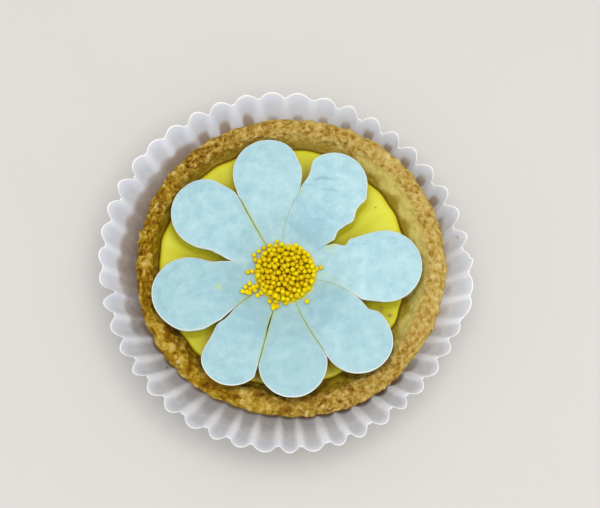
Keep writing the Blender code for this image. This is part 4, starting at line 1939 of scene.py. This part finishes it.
        # Painted shade on the petal's underside, away from its edge.
        marks["under"] = np.append(np.zeros(len(places)), ease(edge / self.under_width) * (1.0 - joined))
        bottom_faces = tube_faces(self.rows, self.columns, False)
        top_faces = [face[::-1] for face in bottom_faces]
        below = [tuple(corner + len(places) for corner in face) for face in bottom_faces]
        draft = Draft()
        draft.add(np.concatenate([upper, lower]), top_faces + below, marks)
        made = draft.piece(f"cream_petal_{index + 1}", finish, "piped_cream", [f"petal_{index + 1}"])
        self._join_sheets(made)
        return made

    def _join_sheets(self, piece: Piece) -> None:
        """Joins the upper and lower sheets along the outline.

        Args:
            piece: The petal.
        """
        shape = bmesh.new()
        shape.from_mesh(piece.data)
        bmesh.ops.remove_doubles(shape, verts=shape.verts, dist=self.weld)
        bmesh.ops.recalc_face_normals(shape, faces=shape.faces)
        shape.to_mesh(piece.data)
        shape.free()

    def build(self, finish: Material) -> list[Piece]:
        """Builds all petals with one material."""
        lumps = Lumps(self.seed)
        return [self.build_petal(index, finish, lumps) for index in range(len(self.petals))]


# ---- curd


@dataclass
class Curd:
    """The lemon curd, level but for soft swells, with a thin dark gap at the crust."""

    plan: Plan
    crust: Crust
    daisy: Daisy
    rings: int = 70
    steps: int = 260
    last_share: float = 0.02
    clear: float = 0.30 * MM
    side: float = 4.0 * MM
    edge_drop: float = 0.35 * MM
    edge_width: float = 0.9 * MM
    swell: float = 0.30 * MM
    swell_size: float = 9.0 * MM
    swell_from_edge: float = 2.0 * MM
    reach_from_petal: float = 3.0 * MM
    reach_between_petals: float = 8.6 * MM
    reach_from_crust: float = 1.6 * MM
    open_at_petal: float = 0.25
    open_at_crust: float = 0.3
    seed: int = 44

    def build(self, finish: Material) -> Piece:
        """Builds the curd.

        Args:
            finish: Its material.

        Returns:
            The piece.
        """
        degrees = round_trip(self.steps)
        radii = self.crust.curd_edge(degrees) - self.clear
        shares = np.linspace(1.0, self.last_share, self.rings)
        plan = self.plan.crust + shares[:, None, None] * radii[:, None] * direction(degrees)
        places = plan.reshape(-1, 2)
        inside = np.repeat(1.0 - shares, self.steps) * self.plan.curd_radius
        swells = Lumps(self.seed).soft(to_points(places, 0.0), self.swell_size)
        heights = self.plan.curd_top - self.edge_drop * (1.0 - ease(inside / self.edge_width))
        heights += self.swell * swells * ease(inside / self.swell_from_edge)
        bottom = self.plan.curd_top - self.side
        rings = np.concatenate([to_points(plan[0], bottom), to_points(places, heights)])
        hubs = np.array([[*self.plan.crust, bottom], [*self.plan.crust, self.plan.curd_top]])
        opened = np.append(np.zeros(self.steps), self._opened(places, inside))
        draft = Draft()
        draft.add_closed(rings, self.steps, hubs, {"open": opened}, 1.0)
        return draft.piece("set_curd", finish, "lemon_curd", ["lemon_curd"])

    def _opened(self, places: Array, inside: Array) -> Array:
        """How open the curd lies to the light, which sets its painted shade.

        Args:
            places: Places in the plan.
            inside: How far inside the crust's edge each is.

        Returns:
            Shares, 0 where petals or crust close in on it.
        """
        nearest, second = self.daisy.distances(places)[:2]
        by_crust = self.open_at_crust + (1.0 - self.open_at_crust) * inside / self.reach_from_crust
        by_petal = self.open_at_petal + (1.0 - self.open_at_petal) * nearest / self.reach_from_petal
        between = second / self.reach_between_petals
        return np.minimum.reduce([np.clip(by_crust, 0.0, 1.0), by_petal, between])


# ---- sprinkles and crumbs


@dataclass
class SprinkleHeap:
    """Round sprinkles dropped one by one on a low dome of dyed cream painted dark with their shade, and the
    few that strayed.
    """

    plan: Plan
    daisy: Daisy
    radius: float = 9.9 * MM
    ball: float = 0.89 * MM
    ball_change: float = 0.05
    stray_change: Place = (0.97, 1.05)
    squash: Place = (0.95, 1.04)
    sunk: float = 0.85
    closeness: float = 0.97
    balls: int = 235
    tries: int = 90
    ball_detail: int = 3
    floor: float = 26.0 * MM
    rise: float = 1.0 * MM
    outer: Place = (7.4 * MM, 2.4 * MM)
    outer_bright: float = 0.35
    outer_lit: float = 0.55
    bed_steps: int = 96
    bed_shares: tuple[float, ...] = (0.84, *np.linspace(0.86, 0.04, 22))
    bed_skirt: float = 0.5 * MM
    bed_lump: float = 0.25 * MM
    bed_lump_size: float = 1.6 * MM
    strays: tuple[Place, ...] = (
        (7.4, -12.6), (12.2, -0.3), (10.7, -0.9), (-13.2, -2.0), (-11.6, -1.7), (-15.0, -9.2), (-14.1, -7.5),
        (-12.6, -6.2), (-12.3, -8.1), (-13.6, -9.3), (-10.7, -8.6), (-9.8, -10.4), (-8.4, -9.4), (-9.9, -7.0),
        (-11.2, -7.4), (-12.6, -9.6), (-11.0, 4.2), (-10.6, 2.4), (-9.4, 5.6), (-7.6, 6.8), (-5.6, 7.6),
        (-5.6, -12.6), (-3.0, -14.4), (-4.3, -15.0), (0.0, -13.2), (-3.1, 9.1), (-4.4, -14.0), (-3.4, -12.7),
    )
    seed: int = 7

    def _dome(self, spread: Any) -> Any:
        """Height of the dyed cream at this distance from the heap's middle."""
        return self.floor + self.rise * (1.0 - np.clip(spread / self.radius, 0.0, 1.0) ** 2)

    def _drop(self) -> list[tuple[Array, float]]:
        """Lets the sprinkles down, the strayed ones first.

        Returns:
            Where each ball comes to rest, with its radius.
        """
        draw = random.Random(self.seed)
        rested: list[tuple[Array, float]] = []
        for stray in self.strays:
            place = MM * np.array(stray)
            size = self.ball * draw.uniform(*self.stray_change)
            ground = float(self.daisy.top(place[None])[0])
            rested.append((np.array([*place, ground + self.sunk * size]), size))
        for _ in range(self.balls):
            size = self.ball * (1.0 + draw.uniform(-self.ball_change, self.ball_change))
            best = None
            for _ in range(self.tries):
                spread = self.radius * math.sqrt(draw.random())
                turn = draw.uniform(0.0, 360.0)
                place = self.plan.heap + spread * direction(turn)
                height = self._resting_height(place, spread, size, rested)
                if best is None or height < best[2]:
                    best = (*place, height)
            rested.append((np.array(best), size))
        return rested

    def _resting_height(self, place: Array, spread: float, size: float, rested: list) -> float:
        """Height of a ball's middle if it is let down here.

        Args:
            place: Where, in the plan.
            spread: How far that is from the heap's middle.
            size: The ball's radius.
            rested: The balls that lie there already.

        Returns:
            The height.
        """
        height = self._dome(spread) + size
        centres = np.array([centre for centre, _ in rested])
        sizes = np.array([other for _, other in rested])
        reach = (self.closeness * (sizes + size)) ** 2 - np.sum((centres[:, :2] - place) ** 2, axis=1)
        touching = reach > 0.0
        if touching.any():
            height = max(height, float((centres[touching, 2] + np.sqrt(reach[touching])).max()))
        return height

    def build_balls(self, finish: Material) -> Piece:
        """Builds all the sprinkles as one piece.

        Args:
            finish: Their material.

        Returns:
            The piece.
        """
        draw = random.Random(self.seed + 1)
        unit, faces = unit_ball(self.ball_detail)
        begin, fade = self.outer
        draft = Draft()
        for centre, size in self._drop():
            squash = np.array([draw.uniform(*self.squash) for _ in range(3)])
            outer = ease((float(np.linalg.norm(centre[:2] - self.plan.heap)) - begin) / fade)
            # Painted shade: each ball darker on its lower side, less so towards the heap's outside.
            below = ease((0.8 - unit[:, 2]) / 0.9) * (1.0 - self.outer_lit * outer)
            marks = {"ball": np.full(len(unit), draw.random() + self.outer_bright * outer), "below": below}
            draft.add(centre + unit * size * squash, faces, marks)
        return draft.piece("sugar_balls", finish, "yellow_sugar", ["sprinkle_heap"])

    def build_bed(self, finish: Material) -> Piece:
        """Builds the dyed cream under the sprinkles, painted dark in the middle as the shade between them.

        Args:
            finish: Its material.

        Returns:
            The piece.
        """
        steps, bottom = self.bed_steps, self.floor - self.bed_skirt
        shares = np.array(self.bed_shares)
        heights = self._dome(shares * self.radius)
        heights[0] = bottom
        spreads = shares[:, None, None] * self.radius
        plan = self.plan.heap + spreads * direction(round_trip(steps))
        rings = to_points(plan.reshape(-1, 2), np.repeat(heights, steps))
        rings[steps:, 2] += self.bed_lump * Lumps(self.seed).soft(rings[steps:], self.bed_lump_size)
        hubs = np.array([[*self.plan.heap, bottom], [*self.plan.heap, self._dome(0.0)]])
        draft = Draft()
        draft.add_closed(rings, steps, hubs, {"outer": np.repeat(shares, steps)})
        return draft.piece("dyed_shaded_bed", finish, "yellow_sugar", ["sprinkle_heap"])


@dataclass
class Crumbs:
    """Loose crumbs: in the fold between crust and paper, on the paper and on the curd."""

    plan: Plan
    crust: Crust
    size: float = 0.42 * MM
    on_paper_size: float = 0.8
    fallen_sizes: Place = (0.4, 1.2)
    fallen_turns: Place = (-20.0, 200.0)
    fallen_spread: Place = (-1.0, 1.4)
    fallen_lift: float = 1.8
    fallen: int = 12
    on_curd: tuple[tuple[float, float, float], ...] = (  # place, size
        (33.7, -14.0, 0.55),
        (36.6, -16.4, 0.60),
        (17.4, 13.9, 0.50),
        (31.4, 23.0, 0.30),
    )
    on_paper: tuple[Place, ...] = ((60.4, 13.4), (-41.6, -30.4))
    detail: int = 2
    bumps: float = 0.7
    bump_scale: float = 1.3
    wide: Place = (0.7, 1.3)
    high: Place = (0.5, 0.9)
    drop_from: float = 0.1
    seed: int = 61

    def _crumb(self, draft: Draft, centre: Array, size: float, draw: random.Random) -> None:
        """Adds one crumb: a small ball pulled out of shape.

        Args:
            draft: The mesh that it joins.
            centre: Its middle.
            size: Its radius.
            draw: Where its shape comes from.
        """
        unit, faces = unit_ball(self.detail)
        shift = draw.uniform(0.0, 50.0)
        step = Vector((shift, 0.0, shift))
        bumps = np.array([noise.noise(Vector(point) * self.bump_scale + step) for point in unit])
        squash = np.array([draw.uniform(*limits) for limits in (self.wide, self.wide, self.high)])
        points = centre + unit * size * squash * (1.0 + self.bumps * bumps)[:, None]
        draft.add(points, faces, {"crumb": np.full(len(unit), draw.random())})

    def _paper_height(self, paper: Piece, place: Array) -> float:
        """Height of the paper's inner side here."""
        found, where, _, _ = paper.ray_cast(Vector((*place, self.drop_from)), Vector((0.0, 0.0, -1.0)))
        return where.z if found else 0.0

    def build(self, finish: Material, paper: Piece) -> Piece:
        """Builds all the crumbs as one piece.

        Args:
            finish: Their material.
            paper: The case that some of them lie on.

        Returns:
            The piece.
        """
        draw = random.Random(self.seed)
        draft = Draft()
        for crumb in self.on_curd:
            x, y, size = MM * np.array(crumb)
            self._crumb(draft, np.array([x, y, self.plan.curd_top + 0.5 * size]), size, draw)
        bpy.context.view_layer.update()
        for crumb in self.on_paper:
            place = MM * np.array(crumb)
            centre = np.array([*place, self._paper_height(paper, place) + self.size])
            self._crumb(draft, centre, self.on_paper_size * self.size, draw)
        for _ in range(self.fallen):
            turn = draw.uniform(*self.fallen_turns)
            spread = self.crust.radius + draw.uniform(*self.fallen_spread) * MM
            place = self.plan.crust + spread * direction(turn)
            size = self.size * draw.uniform(*self.fallen_sizes)
            centre = np.array([*place, self._paper_height(paper, place) + self.fallen_lift * size])
            self._crumb(draft, centre, size, draw)
        return draft.piece("loose_crumbs", finish, "shortcrust", [])


# ---- studio


@dataclass
class Studio:
    """The floor, the lights and the camera."""

    target: tuple[float, float, float] = (5.0 * MM, 6.46 * MM, 21.0 * MM)
    lean: float = 16.5
    reach: float = 2.4
    seen_width: float = 0.210
    sensor: float = 36.0
    clip_end: float = 20.0
    floor_size: float = 3.0
    floor_colour: Colour = tint(226, 222, 216)
    floor_dark: float = 0.97
    floor_cloud: float = 40.0 * MM
    floor_roughness: float = 0.7
    light_turn: float = -50.0
    light_climb: float = 81.0
    light_reach: float = 0.9
    light_side: float = 0.55
    light_power: float = 3.6
    light_colour: Colour = (1.0, 0.99, 0.97)
    sky: Colour = (0.97, 0.985, 1.0)
    sky_strength: float = 0.94

    def build(self) -> None:
        """Builds everything that isn't part of the tart."""
        self._floor()
        self._sky()
        self._light()
        self._camera()
        bpy.context.scene.view_settings.view_transform = "Standard"

    def _floor(self) -> None:
        """A plain pale floor."""
        half = 0.5 * self.floor_size
        corners = [(-half, -half, 0), (half, -half, 0), (half, half, 0), (-half, half, 0)]
        mesh = bpy.data.meshes.new("floor")
        mesh.from_pydata(corners, [], [(0, 1, 2, 3)])
        paint = Paint("pale_floor")
        darker = tuple(self.floor_dark * channel for channel in self.floor_colour)
        colour = paint.mix(paint.noise(self.floor_cloud), darker, self.floor_colour)
        mesh.materials.append(paint.finish(colour, self.floor_roughness, {}))
        floor = bpy.data.objects.new("floor", mesh)
        bpy.context.scene.collection.objects.link(floor)

    def _sky(self) -> None:
        """Even light from all round."""
        world = bpy.data.worlds.new("studio")
        world.use_nodes = True
        background = world.node_tree.nodes["Background"]
        background.inputs["Color"].default_value = (*self.sky, 1.0)
        background.inputs["Strength"].default_value = self.sky_strength
        bpy.context.scene.world = world

    def _light(self) -> None:
        """A square soft light, turned towards the tart."""
        data = bpy.data.lights.new("key", "AREA")
        data.energy = self.light_power
        data.size = self.light_side
        data.color = self.light_colour
        turn, climb = math.radians(self.light_turn), math.radians(self.light_climb)
        away = Vector((math.cos(turn) * math.cos(climb), math.sin(turn) * math.cos(climb), math.sin(climb)))
        made = bpy.data.objects.new("key", data)
        made.location = Vector(self.target) + self.light_reach * away
        made.rotation_euler = away.to_track_quat("Z", "Y").to_euler()
        bpy.context.scene.collection.objects.link(made)

    def _camera(self) -> None:
        """A long lens, leaning from straight above towards the near side."""
        data = bpy.data.cameras.new("camera")
        data.sensor_width = self.sensor
        data.lens = self.sensor * self.reach / self.seen_width
        data.clip_end = self.clip_end
        lean = math.radians(self.lean)
        away = Vector((0.0, -math.sin(lean), math.cos(lean)))
        camera = bpy.data.objects.new("camera", data)
        camera.location = Vector(self.target) + self.reach * away
        camera.rotation_euler = (lean, 0.0, 0.0)
        bpy.context.scene.collection.objects.link(camera)
        bpy.context.scene.camera = camera


# ---- the tart


def main() -> None:
    """Builds the tart and its studio."""
    logging.basicConfig(level=logging.INFO, format="%(name)s %(message)s")
    plan = Plan.from_frame()
    crust = Crust(plan)
    daisy = Daisy(plan, crust)
    paper = PaperCase(plan, crust).build(PaperFinish().make())
    crust.build(CrustFinish().make(), daisy)
    daisy.build(CreamFinish().make())
    Curd(plan, crust, daisy).build(CurdFinish().make())
    heap = SprinkleHeap(plan, daisy)
    heap.build_balls(SugarFinish().make())
    heap.build_bed(BedFinish().make())
    Crumbs(plan, crust).build(CrumbFinish().make(), paper)
    Studio().build()


if __name__ == "__main__":
    main()
